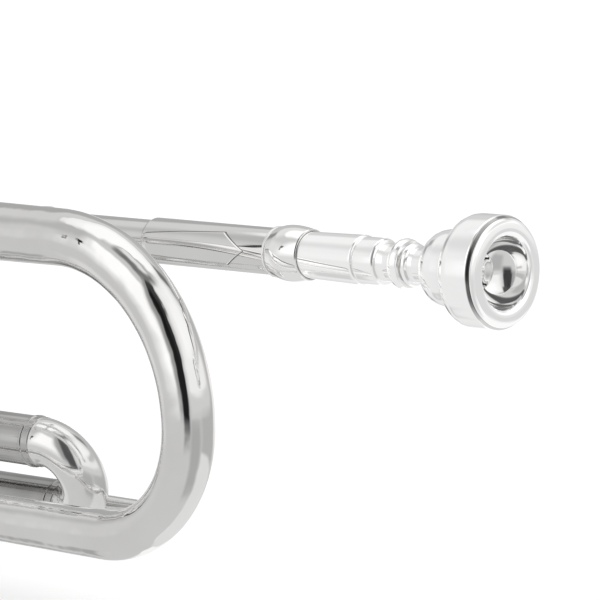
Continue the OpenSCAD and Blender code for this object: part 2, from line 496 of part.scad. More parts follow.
// rod from the first slide's lower sleeve to the rear bow
st_y = 43;
st_z = -75.9;
st_x0 = 262;
st_x1 = 342.5;
module bow_stay() color([0.85, 0.85, 0.85]) difference() {
  union() {
    along_x(st_x0, st_y, st_z) cylinder(h = st_x1 - st_x0, r = 2.4);
    translate([st_x0, st_y, st_z]) sphere(r = 3.0);
    along_y(st_x0, s1_y2 + 3, st_z) cylinder(h = st_y - s1_y2 - 3, r = 2.4);
    along_y(st_x0, s1_y2 + 4, st_z) cylinder(h = 4.2, r1 = 4.8, r2 = 2.42);
    translate([st_x1, st_y, st_z]) sphere(r = 3.0);
    along_y(st_x1, 3, st_z) cylinder(h = st_y - 3, r = 2.4);
    along_y(st_x1, 4.2, st_z) cylinder(h = 4.6, r1 = 4.6, r2 = 2.42);
  }
  along_x(240, s1_y2, s1_z2) cylinder(h = 60, r = sl_ro + tiny);
  along_x(320, 0, -bow_h) cylinder(h = 60, r = 6.24);
}
module finger_hook() color([0.84, 0.84, 0.84]) difference() {
  translate([164, 0, 0]) union() {
    translate([0, 5, bell_r(164) + 9]) rotate([90, 0, 90]) rotate([0, 0, 0]) rotate_extrude(angle = 235) translate([9, 0]) circle(r = 1.9, $fn = 32);
    translate([0, 14, bell_r(164) + 9]) sphere(r = 1.95, $fn = 32);
    translate([-4.5, -3.4, bell_r(164) - 2.5]) cube([9, 6.8, 3.6]);
  }
  along_x(0, 0, 0) for (i = [20 : len(bx) - 4])
    translate([0, 0, bx[i]]) cylinder(h = bx[i + 1] - bx[i], r1 = bell_r(bx[i]) + tiny, r2 = bell_r(bx[i + 1]) + tiny);
}

mouthpiece();
mouthpiece_receiver();
leadpipe_sleeve();
spear_plate();
leadpipe();
tuning_sleeve();
tuning_lock_screw();
mouthpipe_branch();
bell();
bell_rim_wire();
bell_ferrule();
rear_bow();
lower_branch();
front_bow();
front_branch();
branch_ferrules();
valve_1_casing();
valve_2_casing();
valve_3_casing();
valve_crossovers();
piston_1();
piston_2();
piston_3();
valve_guides();
valve_spring_1();
valve_spring_2();
valve_spring_3();
stem_1();
stem_2();
stem_3();
pearl_1();
pearl_2();
pearl_3();
stem_felt_1();
stem_felt_2();
stem_felt_3();
top_caps();
top_cap_felts();
bottom_caps();
first_slide_sleeves();
first_slide_tubes();
first_slide_ferrules();
first_slide_crook();
second_slide_sleeves();
second_slide_tubes();
second_slide_crook();
second_slide_knob();
third_slide_sleeves();
third_slide_tubes();
third_slide_crook();
third_slide_ring();
water_key_saddle();
water_key_lever();
water_key_cork();
water_key_screw();
bell_braces();
lower_braces();
leadpipe_brace();
bow_stay();
finger_hook();
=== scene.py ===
import json
import math
import bmesh
import bpy
import numpy as np
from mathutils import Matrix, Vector


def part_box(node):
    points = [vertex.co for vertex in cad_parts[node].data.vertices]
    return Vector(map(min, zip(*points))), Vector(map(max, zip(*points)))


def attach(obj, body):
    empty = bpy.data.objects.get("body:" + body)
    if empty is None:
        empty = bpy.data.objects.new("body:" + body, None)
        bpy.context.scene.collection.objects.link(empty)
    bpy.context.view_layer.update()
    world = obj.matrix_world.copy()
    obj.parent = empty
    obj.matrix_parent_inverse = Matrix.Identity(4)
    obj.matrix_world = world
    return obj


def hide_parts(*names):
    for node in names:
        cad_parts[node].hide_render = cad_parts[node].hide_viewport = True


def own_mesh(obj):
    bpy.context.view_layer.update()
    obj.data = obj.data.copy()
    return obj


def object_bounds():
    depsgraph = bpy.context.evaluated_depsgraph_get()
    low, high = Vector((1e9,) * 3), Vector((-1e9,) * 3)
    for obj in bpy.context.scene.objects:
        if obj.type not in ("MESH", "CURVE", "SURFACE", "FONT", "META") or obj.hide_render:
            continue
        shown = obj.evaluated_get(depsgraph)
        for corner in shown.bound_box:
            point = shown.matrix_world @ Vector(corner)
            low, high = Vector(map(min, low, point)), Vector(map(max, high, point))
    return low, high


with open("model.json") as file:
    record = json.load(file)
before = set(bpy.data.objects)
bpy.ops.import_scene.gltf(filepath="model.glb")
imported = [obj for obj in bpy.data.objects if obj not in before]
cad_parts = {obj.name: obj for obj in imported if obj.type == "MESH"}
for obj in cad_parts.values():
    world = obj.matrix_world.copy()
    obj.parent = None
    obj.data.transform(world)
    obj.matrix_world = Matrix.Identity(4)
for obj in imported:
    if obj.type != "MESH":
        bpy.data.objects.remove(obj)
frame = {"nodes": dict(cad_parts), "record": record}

CAD_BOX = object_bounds()
MM = 0.001
PI = math.pi
scene = bpy.context.scene

# ------------------------------------------------------------------ dimensions
RIM_D, BITE_D, THROAT_D = 27.5, 17.6, 4.2
LEAD_D, SLEEVE_D, COLLAR_D = 10.3, 11.76, 14.1
BELL_D, WALL = 152.0, 0.6
CASING_D, BUTTON_D, PISTON_D = 20.6, 15.0, 17.0
MX, LY, LZ = 470.0, 28.0, -2.56
VX = (232.0, 208.5, 185.0)
VY = LY
C_TOP, C_BOT = 15.0, -96.0
CR = CASING_D / 2
BX, BRU, BH, BRM, BGU, BGL = 392.29, 44.52, 73.67, 6.6, 0.00903, 0.00869
BRL = BH - BRU
BELL_X1, LOW_X1 = 276.0, 256.0
LOW_R = BRM - BGL * (PI * BRL / 2 + BX - BRL - LOW_X1)
S1Y, S1Z, S1R, S1T = 24.0, -57.65, 9.81, math.radians(24.4)
S1Y2 = S1Y + 2 * S1R * math.sin(S1T)
S1Z2 = S1Z - 2 * S1R * math.cos(S1T)
S1X, S1XC = 313.7, 317.14
SLO, SLI = 6.6, 6.05
INO, INI, CKR = 6.02, 5.4, 6.1
S2Z, S2R, S2Y, S2YC = -46.0, 10.0, 53.0, 57.0
S3Y, S3Z, S3R, S3X, S3XC = 38.5, -36.0, 18.0, 112.0, 78.0
PORT_Z = -23.0
CAP_TOP, BUTTON_Z, BARREL_TOP = 18.5, 39.0, 13.0
FBX, FBY, FBZ = 140.0, 24.0, -38.0
FBR = math.hypot(FBY, FBZ + BH) / 2
FBT = math.atan2(FBY, FBZ + BH)
SR, LR, KR = SLEEVE_D / 2, LEAD_D / 2, COLLAR_D / 2
X, Y, Z = Vector((1, 0, 0)), Vector((0, 1, 0)), Vector((0, 0, 1))


def bell_r(x):
    return (BRM + BGU * (PI * BRU / 2 + BX - BRU - x) + 24.5 * (BELL_D / 152) * math.exp(-x / 8.5)
            + 43.65 * (BELL_D / 152) * math.exp(-x / 52) * (1 - x / BELL_X1))


# ------------------------------------------------------------------ node helper
class Nodes:
    """Short calls for building a node tree."""

    def __init__(self, tree):
        self.t = tree
        self.t.nodes.clear()

    def put(self, kind, out=0, **k):
        n = self.t.nodes.new(kind)
        ins = k.pop("ins", {})
        for a, v in k.items():
            setattr(n, a, v)
        for a, v in ins.items():
            self.wire(n.inputs[a], v)
        return n.outputs[out] if out is not None else n

    def wire(self, sock, v):
        if isinstance(v, bpy.types.NodeSocket):
            self.t.links.new(v, sock)
        elif v is not None:
            sock.default_value = v

    def m(self, op, a, b=None, c=None, clamp=False):
        n = self.t.nodes.new("ShaderNodeMath")
        n.operation, n.use_clamp = op, clamp
        for i, v in enumerate((a, b, c)):
            if v is not None:
                self.wire(n.inputs[i], v)
        return n.outputs[0]

    def vm(self, op, a, b=None, out=0):
        n = self.t.nodes.new("ShaderNodeVectorMath")
        n.operation = op
        self.wire(n.inputs[0], a)
        if b is not None:
            self.wire(n.inputs[1], b)
        return n.outputs[out]

    def rng(self, v, a, b, c=0.0, d=1.0, smooth=True):
        n = self.t.nodes.new("ShaderNodeMapRange")
        n.interpolation_type = "SMOOTHSTEP" if smooth else "LINEAR"
        n.clamp = True
        for i, s in enumerate((v, a, b, c, d)):
            self.wire(n.inputs[i], s)
        return n.outputs[0]

    def mixf(self, f, a, b):
        n = self.t.nodes.new("ShaderNodeMix")
        n.data_type = "FLOAT"
        self.wire(n.inputs[0], f)
        self.wire(n.inputs[2], a)
        self.wire(n.inputs[3], b)
        return n.outputs[0]

    def mixc(self, f, a, b, blend="MIX"):
        n = self.t.nodes.new("ShaderNodeMix")
        n.data_type, n.blend_type = "RGBA", blend
        self.wire(n.inputs[0], f)
        self.wire(n.inputs[6], a)
        self.wire(n.inputs[7], b)
        return n.outputs[2]

    def noise(self, vec, scale, detail=2.0, rough=0.5, out=0):
        return self.put("ShaderNodeTexNoise", out=out, ins={"Vector": vec, "Scale": scale, "Detail": detail, "Roughness": rough})

    def stretch(self, vec, s):
        n = self.t.nodes.new("ShaderNodeMapping")
        n.vector_type = "POINT"
        self.wire(n.inputs["Vector"], vec)
        n.inputs["Scale"].default_value = s
        return n.outputs[0]


def lin(v):
    return v / 12.92 if v <= 0.04045 else ((v + 0.055) / 1.055) ** 2.4


# ------------------------------------------------------------------ materials
MATS = {}


def material(name):
    m = bpy.data.materials.new(name)
    m.use_nodes = True
    MATS[name] = m
    return m, Nodes(m.node_tree)


def silver(name, hi=(0.955, 0.952, 0.945), lo=(0.90, 0.893, 0.88), r0=0.018, r1=0.06, dull=0.0, wave=0.5, grain=(1, 1, 1), tarnish=0.55, painted_light=0.0, ripple=0.0, dent=0.00007, strength=0.35, shade=0.0, reach=0.02):
    """Polished silver plate: cloudy roughness, fine polishing lines, faint waviness, darker creases; optional painted
    shade from a wider occlusion and an optional painted key light as white emission.
    """
    m, n = material(name)
    pos = n.put("ShaderNodeNewGeometry", out=None)
    co = n.put("ShaderNodeTexCoord", out=None).outputs["Object"]
    cloud = n.noise(co, 38.0, 3.0, 0.55)
    fine = n.noise(co, 420.0, 2.0, 0.6)
    lines = n.noise(n.stretch(co, (900 * grain[0] + 20, 900 * grain[1] + 20, 900 * grain[2] + 20)), 1.0, 3.0, 0.7)
    spots = n.noise(co, 150.0, 4.0, 0.7)
    rough = n.m("ADD", n.rng(cloud, 0.32, 0.72, r0, r1), n.m("MULTIPLY", n.rng(fine, 0.55, 0.8), 0.03))
    rough = n.m("ADD", rough, n.m("MULTIPLY", n.rng(spots, 0.62, 0.8), 0.06))
    rough = n.m("ADD", rough, dull, clamp=True)
    ao = n.put("ShaderNodeAmbientOcclusion", out=None, samples=4, only_local=False, ins={"Distance": 0.0022})
    crease = n.rng(ao.outputs["AO"], 0.35, 0.85, 1.0, 0.0)
    edge = n.rng(pos.outputs["Pointiness"], 0.52, 0.58)
    col = n.mixc(n.rng(cloud, 0.3, 0.75), (*hi, 1), (*lo, 1))
    col = n.mixc(n.m("MULTIPLY", edge, 0.35), col, (0.985, 0.975, 0.955, 1))
    col = n.mixc(n.m("MULTIPLY", crease, tarnish), col, (0.36, 0.335, 0.30, 1))
    rough = n.m("ADD", rough, n.m("MULTIPLY", crease, 0.12), clamp=True)
    # painted shade: the shade option mixes the colour towards near black wherever a wider ambient occlusion (reach)
    # finds neighbouring parts close by
    if shade:
        far = n.put("ShaderNodeAmbientOcclusion", out=None, samples=6, ins={"Distance": reach})
        col = n.mixc(n.m("MULTIPLY", n.rng(far.outputs["AO"], 0.25, 0.85, 1.0, 0.0), shade), col, (0.13, 0.128, 0.125, 1))
    h = n.m("ADD", n.m("MULTIPLY", n.noise(co, 62.0, 1.5, 0.4), wave), n.m("MULTIPLY", lines, 0.010 * 0.00007 / dent))
    if ripple:
        h = n.m("ADD", h, n.m("MULTIPLY", n.noise(co, 230.0, 1.0, 0.4), ripple))
    bump = n.put("ShaderNodeBump", ins={"Strength": strength, "Distance": dent, "Height": h})
    b = n.put("ShaderNodeBsdfPrincipled", ins={"Base Color": col, "Metallic": 1.0, "Roughness": rough, "Normal": bump})
    # painted light: white emission that lifts the faces turned towards a key light on the camera side, less inside the
    # cup and where nearby parts occlude them
    if painted_light:
        gx = n.m("MULTIPLY", n.m("SUBTRACT", MX * MM, n.put("ShaderNodeSeparateXYZ", out=None, ins={0: co}).outputs[0]), 1000.0)
        up = n.put("ShaderNodeSeparateXYZ", out=None, ins={0: pos.outputs["Normal"]}).outputs[2]
        radial = n.vm("LENGTH", n.vm("MULTIPLY", n.vm("SUBTRACT", co, (0, LY * MM, LZ * MM)), (0, 1000, 1000)), out=1)
        # painted dark reflection: the mouthpiece's rim groove is coloured near black, weighted by which way its surface
        # faces
        painted_groove_reflection = n.m("MULTIPLY", n.m("MULTIPLY", n.rng(gx, 0.98, 1.12), n.rng(gx, 1.62, 1.86, 1.0, 0.0)), n.rng(radial, 12.6, 12.8))
        painted_groove_reflection = n.m("MULTIPLY", n.m("MULTIPLY", painted_groove_reflection, n.rng(up, -0.62, -0.25, 0.35, 0.92)), n.rng(up, 0.35, 0.85, 1.0, 0.45))
        col = n.mixc(painted_groove_reflection, col, (0.10, 0.098, 0.095, 1))
        cup = n.m("MULTIPLY", n.m("MULTIPLY", n.rng(gx, 0.6, 1.6), n.rng(gx, 15.7, 15.9, 1.0, 0.0)), n.rng(radial, 9.0, 9.3, 1.0, 0.0))
        n.wire(b.node.inputs["Base Color"], col)
        wide = n.put("ShaderNodeAmbientOcclusion", out=None, samples=6, ins={"Distance": 0.012})
        b.node.inputs["Emission Color"].default_value = (1, 1, 1, 1)
        key = n.vm("DOT_PRODUCT", pos.outputs["Normal"], (0.50, -0.82, 0.27), out=1)
        side = n.put("ShaderNodeLayerWeight", out=None, ins={"Blend": 0.5}).outputs["Facing"]
        key = n.m("MULTIPLY", n.rng(key, -0.55, 0.35), n.rng(side, 0.70, 0.97, 1.0, 0.15))
        painted_light = n.m("MULTIPLY", n.m("ADD", n.m("MULTIPLY", key, 0.9), 0.1), painted_light)
        n.wire(b.node.inputs["Emission Strength"], n.m("MULTIPLY", n.m("MULTIPLY", n.m("SUBTRACT", 1.0, painted_groove_reflection), n.m("SUBTRACT", 1.0, n.m("MULTIPLY", cup, 0.7))), n.m("MULTIPLY", n.rng(wide.outputs["AO"], 0.45, 0.95), n.m("MULTIPLY", painted_light, n.m("SUBTRACT", 1.0, crease)))))
    n.put("ShaderNodeOutputMaterial", out=None, ins={"Surface": b})
    return m


def brushed(name, col0, col1, rough=0.26, axis=(1, 1, 0.02), bump=0.25):
    m, n = material(name)
    co = n.put("ShaderNodeTexCoord", out=None).outputs["Object"]
    streak = n.noise(n.stretch(co, tuple(4200 * a for a in axis)), 1.0, 4.0, 0.7)
    cloud = n.noise(co, 90.0, 3.0, 0.6)
    col = n.mixc(streak, (*col0, 1), (*col1, 1))
    r = n.m("ADD", n.rng(streak, 0.2, 0.8, rough - 0.08, rough + 0.08), n.m("MULTIPLY", cloud, 0.06))
    bp = n.put("ShaderNodeBump", ins={"Strength": bump, "Distance": 0.00002, "Height": streak})
    b = n.put("ShaderNodeBsdfPrincipled", ins={"Base Color": col, "Metallic": 1.0, "Roughness": r, "Normal": bp, "Anisotropic": 0.4})
    n.put("ShaderNodeOutputMaterial", out=None, ins={"Surface": b})
    return m


def pearl_mat():
    """Mother-of-pearl look: pale drifting layers, faint pink and green, hard polish."""
    m, n = material("pearl")
    co = n.put("ShaderNodeTexCoord", out=None).outputs["Object"]
    warp = n.vm("SCALE", n.noise(co, 140.0, 3.0, 0.5, out=1), None)
    warp.node.inputs["Scale"].default_value = 0.004
    w = n.vm("ADD", co, warp)
    a = n.noise(n.stretch(w, (240, 90, 200)), 1.0, 5.0, 0.65)
    b_ = n.noise(n.stretch(w, (90, 260, 150)), 1.3, 4.0, 0.6)
    ramp = n.put("ShaderNodeValToRGB", out=None, ins={"Fac": n.m("FRACT", n.m("MULTIPLY", n.m("ADD", a, n.m("MULTIPLY", b_, 0.6)), 3.1))})
    els = ramp.color_ramp.elements
    els[0].position, els[0].color = 0.0, (0.83, 0.79, 0.72, 1)
    els[1].position, els[1].color = 1.0, (0.86, 0.83, 0.77, 1)
    for p, c in ((0.25, (0.93, 0.90, 0.86, 1)), (0.5, (0.80, 0.84, 0.80, 1)), (0.72, (0.92, 0.82, 0.80, 1))):
        e = els.new(p)
        e.color = c
    bp = n.put("ShaderNodeBump", ins={"Strength": 0.12, "Distance": 0.0001, "Height": a})
    s = n.put("ShaderNodeBsdfPrincipled", ins={"Base Color": ramp.outputs[0], "Roughness": n.rng(b_, 0.3, 0.7, 0.12, 0.26), "Normal": bp,
              "Coat Weight": 0.7, "Coat Roughness": 0.04, "Specular IOR Level": 0.7, "Sheen Weight": 0.15,
              "Subsurface Weight": 0.08, "Subsurface Scale": 0.002})
    n.put("ShaderNodeOutputMaterial", out=None, ins={"Surface": s})
    return m


def felt_mat():
    m, n = material("felt")
    co = n.put("ShaderNodeTexCoord", out=None).outputs["Object"]
    f = n.noise(co, 2600.0, 4.0, 0.75)
    g = n.noise(co, 500.0, 3.0, 0.6)
    col = n.mixc(n.rng(f, 0.3, 0.75), (0.012, 0.012, 0.014, 1), (0.085, 0.083, 0.09, 1))
    bp = n.put("ShaderNodeBump", ins={"Strength": 0.9, "Distance": 0.0002, "Height": n.m("ADD", f, n.m("MULTIPLY", g, 0.6))})
    s = n.put("ShaderNodeBsdfPrincipled", ins={"Base Color": col, "Roughness": 0.93, "Sheen Weight": 0.7, "Sheen Roughness": 0.5, "Normal": bp})
    n.put("ShaderNodeOutputMaterial", out=None, ins={"Surface": s})
    return m


def nylon_mat():
    m, n = material("nylon")
    co = n.put("ShaderNodeTexCoord", out=None).outputs["Object"]
    f = n.noise(co, 900.0, 4.0, 0.6)
    col = n.mixc(f, (0.80, 0.78, 0.72, 1), (0.88, 0.87, 0.82, 1))
    bp = n.put("ShaderNodeBump", ins={"Strength": 0.3, "Distance": 0.00005, "Height": f})
    s = n.put("ShaderNodeBsdfPrincipled", ins={"Base Color": col, "Roughness": n.rng(f, 0.3, 0.7, 0.38, 0.55), "Subsurface Weight": 0.1,
              "Subsurface Scale": 0.001, "Normal": bp})
    n.put("ShaderNodeOutputMaterial", out=None, ins={"Surface": s})
    return m


def cork_mat():
    m, n = material("cork")
    co = n.put("ShaderNodeTexCoord", out=None).outputs["Object"]
    v = n.put("ShaderNodeTexVoronoi", ins={"Vector": co, "Scale": 900.0})
    f = n.noise(co, 1400.0, 5.0, 0.7)
    dark = n.rng(n.noise(co, 600.0, 3.0, 0.7), 0.56, 0.7)
    col = n.mixc(f, (0.36, 0.20, 0.09, 1), (0.62, 0.40, 0.21, 1))
    col = n.mixc(n.m("MULTIPLY", dark, 0.8), col, (0.13, 0.065, 0.03, 1))
    bp = n.put("ShaderNodeBump", ins={"Strength": 0.6, "Distance": 0.00012, "Height": n.m("SUBTRACT", f, n.m("MULTIPLY", dark, 0.5))})
    s = n.put("ShaderNodeBsdfPrincipled", ins={"Base Color": col, "Roughness": n.rng(v, 0.0, 0.8, 0.75, 0.9), "Normal": bp})
    n.put("ShaderNodeOutputMaterial", out=None, ins={"Surface": s})
    return m


SILVER = silver("silver_plate")
# mouthpiece: the brighter base colour and the emission are painted light from a key light on the camera side; its
# groove gets a painted dark reflection
SILVER_MP = silver("silver_mouthpiece", hi=(0.975, 0.973, 0.97), lo=(0.95, 0.947, 0.94), r0=0.03, r1=0.06, wave=0.25, tarnish=0.35, painted_light=0.25)
# receiver: the slightly brighter base colour and the emission are painted light from a key light on the camera side
SILVER_RECV = silver("silver_receiver", hi=(0.96, 0.957, 0.95), lo=(0.93, 0.925, 0.915), r0=0.02, r1=0.05, wave=0.4, painted_light=0.13)
SILVER_BOW = silver("silver_bow", r0=0.012, r1=0.04, wave=3.4, ripple=0.30, dent=0.0005, strength=0.5)
# first slide crook: the darker base colour and the shade option are painted shade on its lower side, and the small
# emission is a painted light that lifts its dark reflection streak
SILVER_CROOK = silver("silver_crook", hi=(0.88, 0.876, 0.87), lo=(0.78, 0.775, 0.765), painted_light=0.07, r0=0.05, r1=0.11, wave=1.6, ripple=0.35, dent=0.0004, strength=0.5, shade=0.8, reach=0.016)
SILVER_LEAD = silver("silver_leadpipe", hi=(0.955, 0.952, 0.945), lo=(0.90, 0.893, 0.88), wave=0.5)
# first slide sleeves and ferrules: the dark base colour and the shade option are painted shade, the shade that the bow
# and the other sleeve cast on them
SILVER_SLEEVE_SHADE = silver("silver_sleeve_painted_shade", hi=(0.68, 0.675, 0.665), lo=(0.50, 0.496, 0.49), r0=0.05, r1=0.12, grain=(0.0, 1, 1), wave=0.9, shade=0.5, reach=0.022)
SILVER_TUBE = silver("silver_tube", hi=(0.93, 0.927, 0.92), lo=(0.865, 0.86, 0.85), r0=0.04, r1=0.10, grain=(0.0, 1, 1), wave=0.35)
NICKEL = brushed("nickel_slide", (0.66, 0.655, 0.64), (0.80, 0.79, 0.77), rough=0.16, axis=(0.01, 1, 1))
PISTON = brushed("nickel_piston", (0.62, 0.62, 0.61), (0.77, 0.77, 0.75), rough=0.2, axis=(1, 1, 0.02))
SEAM = brushed("solder_seam", (0.16, 0.157, 0.15), (0.30, 0.295, 0.285), rough=0.34, axis=(1, 1, 1))
SPRING = brushed("spring_steel", (0.42, 0.42, 0.42), (0.66, 0.66, 0.66), rough=0.3, axis=(1, 1, 1))
SCREW = brushed("steel_screw", (0.52, 0.52, 0.52), (0.74, 0.74, 0.73), rough=0.24, axis=(1, 0.05, 1))
PEARL, FELT, NYLON, CORK = pearl_mat(), felt_mat(), nylon_mat(), cork_mat()

BY_SLOT = {"silver_plate": SILVER, "nickel_piston": PISTON, "spring_steel": SPRING, "pearl": PEARL, "black_felt": FELT,
           "white_nylon": NYLON, "cork": CORK, "steel_screw": SCREW}
for part in frame["record"]["subparts"]:
    ob = frame["nodes"][part["node"]]
    mat = BY_SLOT[part["material_slot"]]
    if not ob.data.materials:
        ob.data.materials.append(mat)
    for s in ob.material_slots:
        s.link = "OBJECT"
        s.material = mat


# ------------------------------------------------------------------ mesh helpers
def piece(name, verts, faces, body, mat, rep=(), angle=32, slot="silver_plate"):
    me = bpy.data.meshes.new(name)
    me.from_pydata([tuple(c * MM for c in v) for v in verts], [], faces)
    bm = bmesh.new()
    bm.from_mesh(me)
    bmesh.ops.remove_doubles(bm, verts=bm.verts, dist=1e-7)
    bmesh.ops.recalc_face_normals(bm, faces=bm.faces)
    bm.to_mesh(me)
    bm.free()
    me.polygons.foreach_set("use_smooth", [True] * len(me.polygons))
    me.set_sharp_from_angle(angle=math.radians(angle))
    ob = bpy.data.objects.new(name, me)
    scene.collection.objects.link(ob)
    me.materials.append(mat)
    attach(ob, body)
    if rep:
        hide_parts(*([rep] if isinstance(rep, str) else rep))
    return ob


class Shape:
    """Collects several closed skins into one piece."""

    def __init__(self):
        self.v, self.f = [], []

    def add(self, verts, faces):
        o = len(self.v)
        self.v += [tuple(p) for p in verts]
        self.f += [tuple(i + o for i in q) for q in faces]
        return self

    def lathe(self, prof, origin, axis, closed=True, seg=128, mod=None, up=None):
        v, f = lathe(prof, origin, axis, closed, seg, mod, up)
        return self.add(v, f)

    def sweep(self, st, seg=64, cap=True, sec=None):
        v, f = sweep(st, seg, cap, sec)
        return self.add(v, f)

    def out(self, name, body, mat, rep=(), **k):
        return piece(name, self.v, self.f, body, mat, rep, **k)


def fillet(pts, rad=0.3, closed=True, n=5, turn=9.0):
    """Rounds the corners of a profile; finely sampled runs turn into a smooth curve."""
    out, m = [], len(pts)
    for i in range(m):
        p = np.array(pts[i], float)
        if not closed and i in (0, m - 1):
            out.append(tuple(p))
            continue
        a, b = np.array(pts[i - 1], float) - p, np.array(pts[(i + 1) % m], float) - p
        la, lb = np.linalg.norm(a), np.linalg.norm(b)
        if la < 1e-9 or lb < 1e-9:
            continue
        a, b = a / la, b / lb
        ang = math.degrees(math.acos(max(-1, min(1, -float(a @ b)))))
        if ang < turn * 0.1 or p[0] < 1e-6:
            out.append(tuple(p))
            continue
        d = min(rad * max(0.35, math.tan(math.radians(ang) / 2)) if ang > turn else 9, 0.46 * la, 0.46 * lb, 9)
        k = n if ang > turn else 3
        s, e = p + a * d, p + b * d
        for j in range(k + 1):
            t = j / k
            out.append(tuple((1 - t) ** 2 * s + 2 * t * (1 - t) * p + t * t * e))
    return out


def frame_of(axis, up=None):
    axis = Vector(axis).normalized()
    up = Vector(up) if up is not None else (Z if abs(axis.z) < 0.9 else X)
    u = (up - axis * up.dot(axis)).normalized()
    return axis, u, axis.cross(u)


def lathe(prof, origin, axis, closed=True, seg=128, mod=None, up=None):
    """Turns a profile of (radius, distance along the axis) round the axis."""
    axis, u, w = frame_of(axis, up)
    o = Vector(origin)
    rings, V = [], []
    for r, s in prof:
        if r < 1e-6:
            rings.append([len(V)])
            V.append(o + axis * s)
        else:
            row = []
            for k in range(seg):
                a = 2 * PI * k / seg
                q = r + (mod(a, s, r) if mod else 0)
                row.append(len(V))
                V.append(o + axis * s + (u * math.cos(a) + w * math.sin(a)) * q)
            rings.append(row)
    F = []
    for i in range(len(rings) if closed else len(rings) - 1):
        a, b = rings[i], rings[(i + 1) % len(rings)]
        if len(a) == 1 and len(b) == 1:
            continue
        for k in range(seg):
            j = (k + 1) % seg
            if len(a) == 1:
                F.append((a[0], b[k], b[j]))
            elif len(b) == 1:
                F.append((a[k], b[0], a[j]))
            else:
                F.append((a[k], b[k], b[j], a[j]))
    return V, F


def sweep(st, seg=64, cap=True, sec=None):
    """Tube along stations (centre, tangent, normal, radius[, inner radius]); sec is an optional list of (n, b) unit offsets."""
    V, F = [], []
    ring = sec or [(math.cos(2 * PI * k / seg), math.sin(2 * PI * k / seg)) for k in range(seg)]
    m = len(ring)
    inner = len(st[0]) > 4
    for w in ((3, 4) if inner else (3,)):
        for s in st:
            c, t, nn = Vector(s[0]), Vector(s[1]).normalized(), Vector(s[2]).normalized()
            b = t.cross(nn)
            r = s[w]
            rx, ry = r if isinstance(r, tuple) else (r, r)
            V += [c + nn * (x * rx) + b * (y * ry) for x, y in ring]
    q = len(st)
    for i in range(q - 1):
        for k in range(m):
            j = (k + 1) % m
            F.append((i * m + k, i * m + j, (i + 1) * m + j, (i + 1) * m + k))
    if inner:
        o = q * m
        for i in range(q - 1):
            for k in range(m):
                j = (k + 1) % m
                F.append((o + i * m + k, o + (i + 1) * m + k, o + (i + 1) * m + j, o + i * m + j))
        for i in (0, q - 1):
            for k in range(m):
                j = (k + 1) % m
                F.append((i * m + k, o + i * m + k, o + i * m + j, i * m + j))
    elif cap:
        F.append(tuple(range(m)))
        F.append(tuple((q - 1) * m + k for k in range(m)))
    return V, F


def arc(centre, e1, e2, R, a0, a1, n, r, ri=None, bead=None):
    """Stations on an arc: centre + R (cos a e1 + sin a e2)."""
    e1, e2 = Vector(e1), Vector(e2)
    out = []
    for i in range(n + 1):
        a = math.radians(a0 + (a1 - a0) * i / n)
        d = e1 * math.cos(a) + e2 * math.sin(a)
        t = (e2 * math.cos(a) - e1 * math.sin(a)) * (1 if a1 > a0 else -1)
        rr = r(i / n) if callable(r) else r
        row = (Vector(centre) + d * R, t, d, rr)
        out.append(row + ((ri,) if ri is not None else ()))
    return out


def line(p, q, nrm, r0, r1=None, n=1, ri=None):
    p, q = Vector(p), Vector(q)
    t = (q - p).normalized()
    out = []
    for i in range(n + 1):
        u = i / n
        out.append((p.lerp(q, u), t, nrm, r0 + ((r1 if r1 is not None else r0) - r0) * u) + ((ri,) if ri is not None else ()))
    return out


def tube_prof(ro, ri, s0, s1, rad=0.12):
    return fillet([(ri, s0), (ro, s0), (ro, s1), (ri, s1)], rad, n=4)


# ------------------------------------------------------------------ mouthpiece, receiver, leadpipe
rr, br = RIM_D / 2, BITE_D / 2
mp_out = ([(10.6, 0), (rr - 2.5, 0.06), (rr - 1.75, 0.2), (rr - 1.15, 0.44), (rr - 0.72, 0.8), (rr - 0.7, 0.98), (rr - 0.82, 1.12), (rr - 0.68, 1.22),
           (rr - 0.12, 1.84), (rr, 2.15), (rr, 8.2), (rr - 0.12, 9.2), (rr - 0.5, 10.2), (rr - 1.1, 11.0), (rr - 1.6, 11.3), (9.5, 11.35),
           (9.45, 16.4), (9.35, 17.6), (9.12, 18.8), (8.75, 19.8), (8.15, 20.8), (7.3, 21.7), (6.2, 22.4), (4.85, 22.95), (4.4, 24.2), (4.25, 26.6), (4.45, 27.9), (5.05, 28.3),
           (5.3, 28.9), (5.05, 29.5), (4.5, 29.8), (4.9, 30.0), (5.75, 30.3), (6.1, 31.1), (6.2, 31.7), (6.05, 32.4), (5.6, 33.1), (4.7, 33.5), (4.6, 35.6), (4.85, 37.6), (5.35, 37.9),
           (5.6, 38.2), (5.75, 38.5), (5.8, 43.9), (5.55, 44.1), (5.55, 44.5), (5.95, 44.7), (6.14, 45.1), (6.12, 46), (5.8, 62.2), (5.42, 77.6), (5.2, 78)])
th = THROAT_D / 2
mp_in = ([(4.3, 78), (th + 0.45, 40), (th, 24), (th, 15.5), (th + 0.12, 13.6), (th + 0.5, 11.4), (th + 1.1, 9.8), (th + 1.75, 8.75)]
         + [((br - 0.1) * math.cos(math.radians(a)) + 0.12, 0.35 + (br - 0.1) * math.sin(math.radians(a))) for a in range(62, 7, -3)]
         + [(br - 0.02, 0.85), (br + 0.16, 0.5), (br + 0.55, 0.22), (br + 1.1, 0.05)])
Shape().lathe(fillet(mp_out + mp_in, 0.22, n=5), (MX, LY, LZ), -X, seg=192).out("mouthpiece_silver", "mouthpiece_body", SILVER_MP, "mouthpiece")

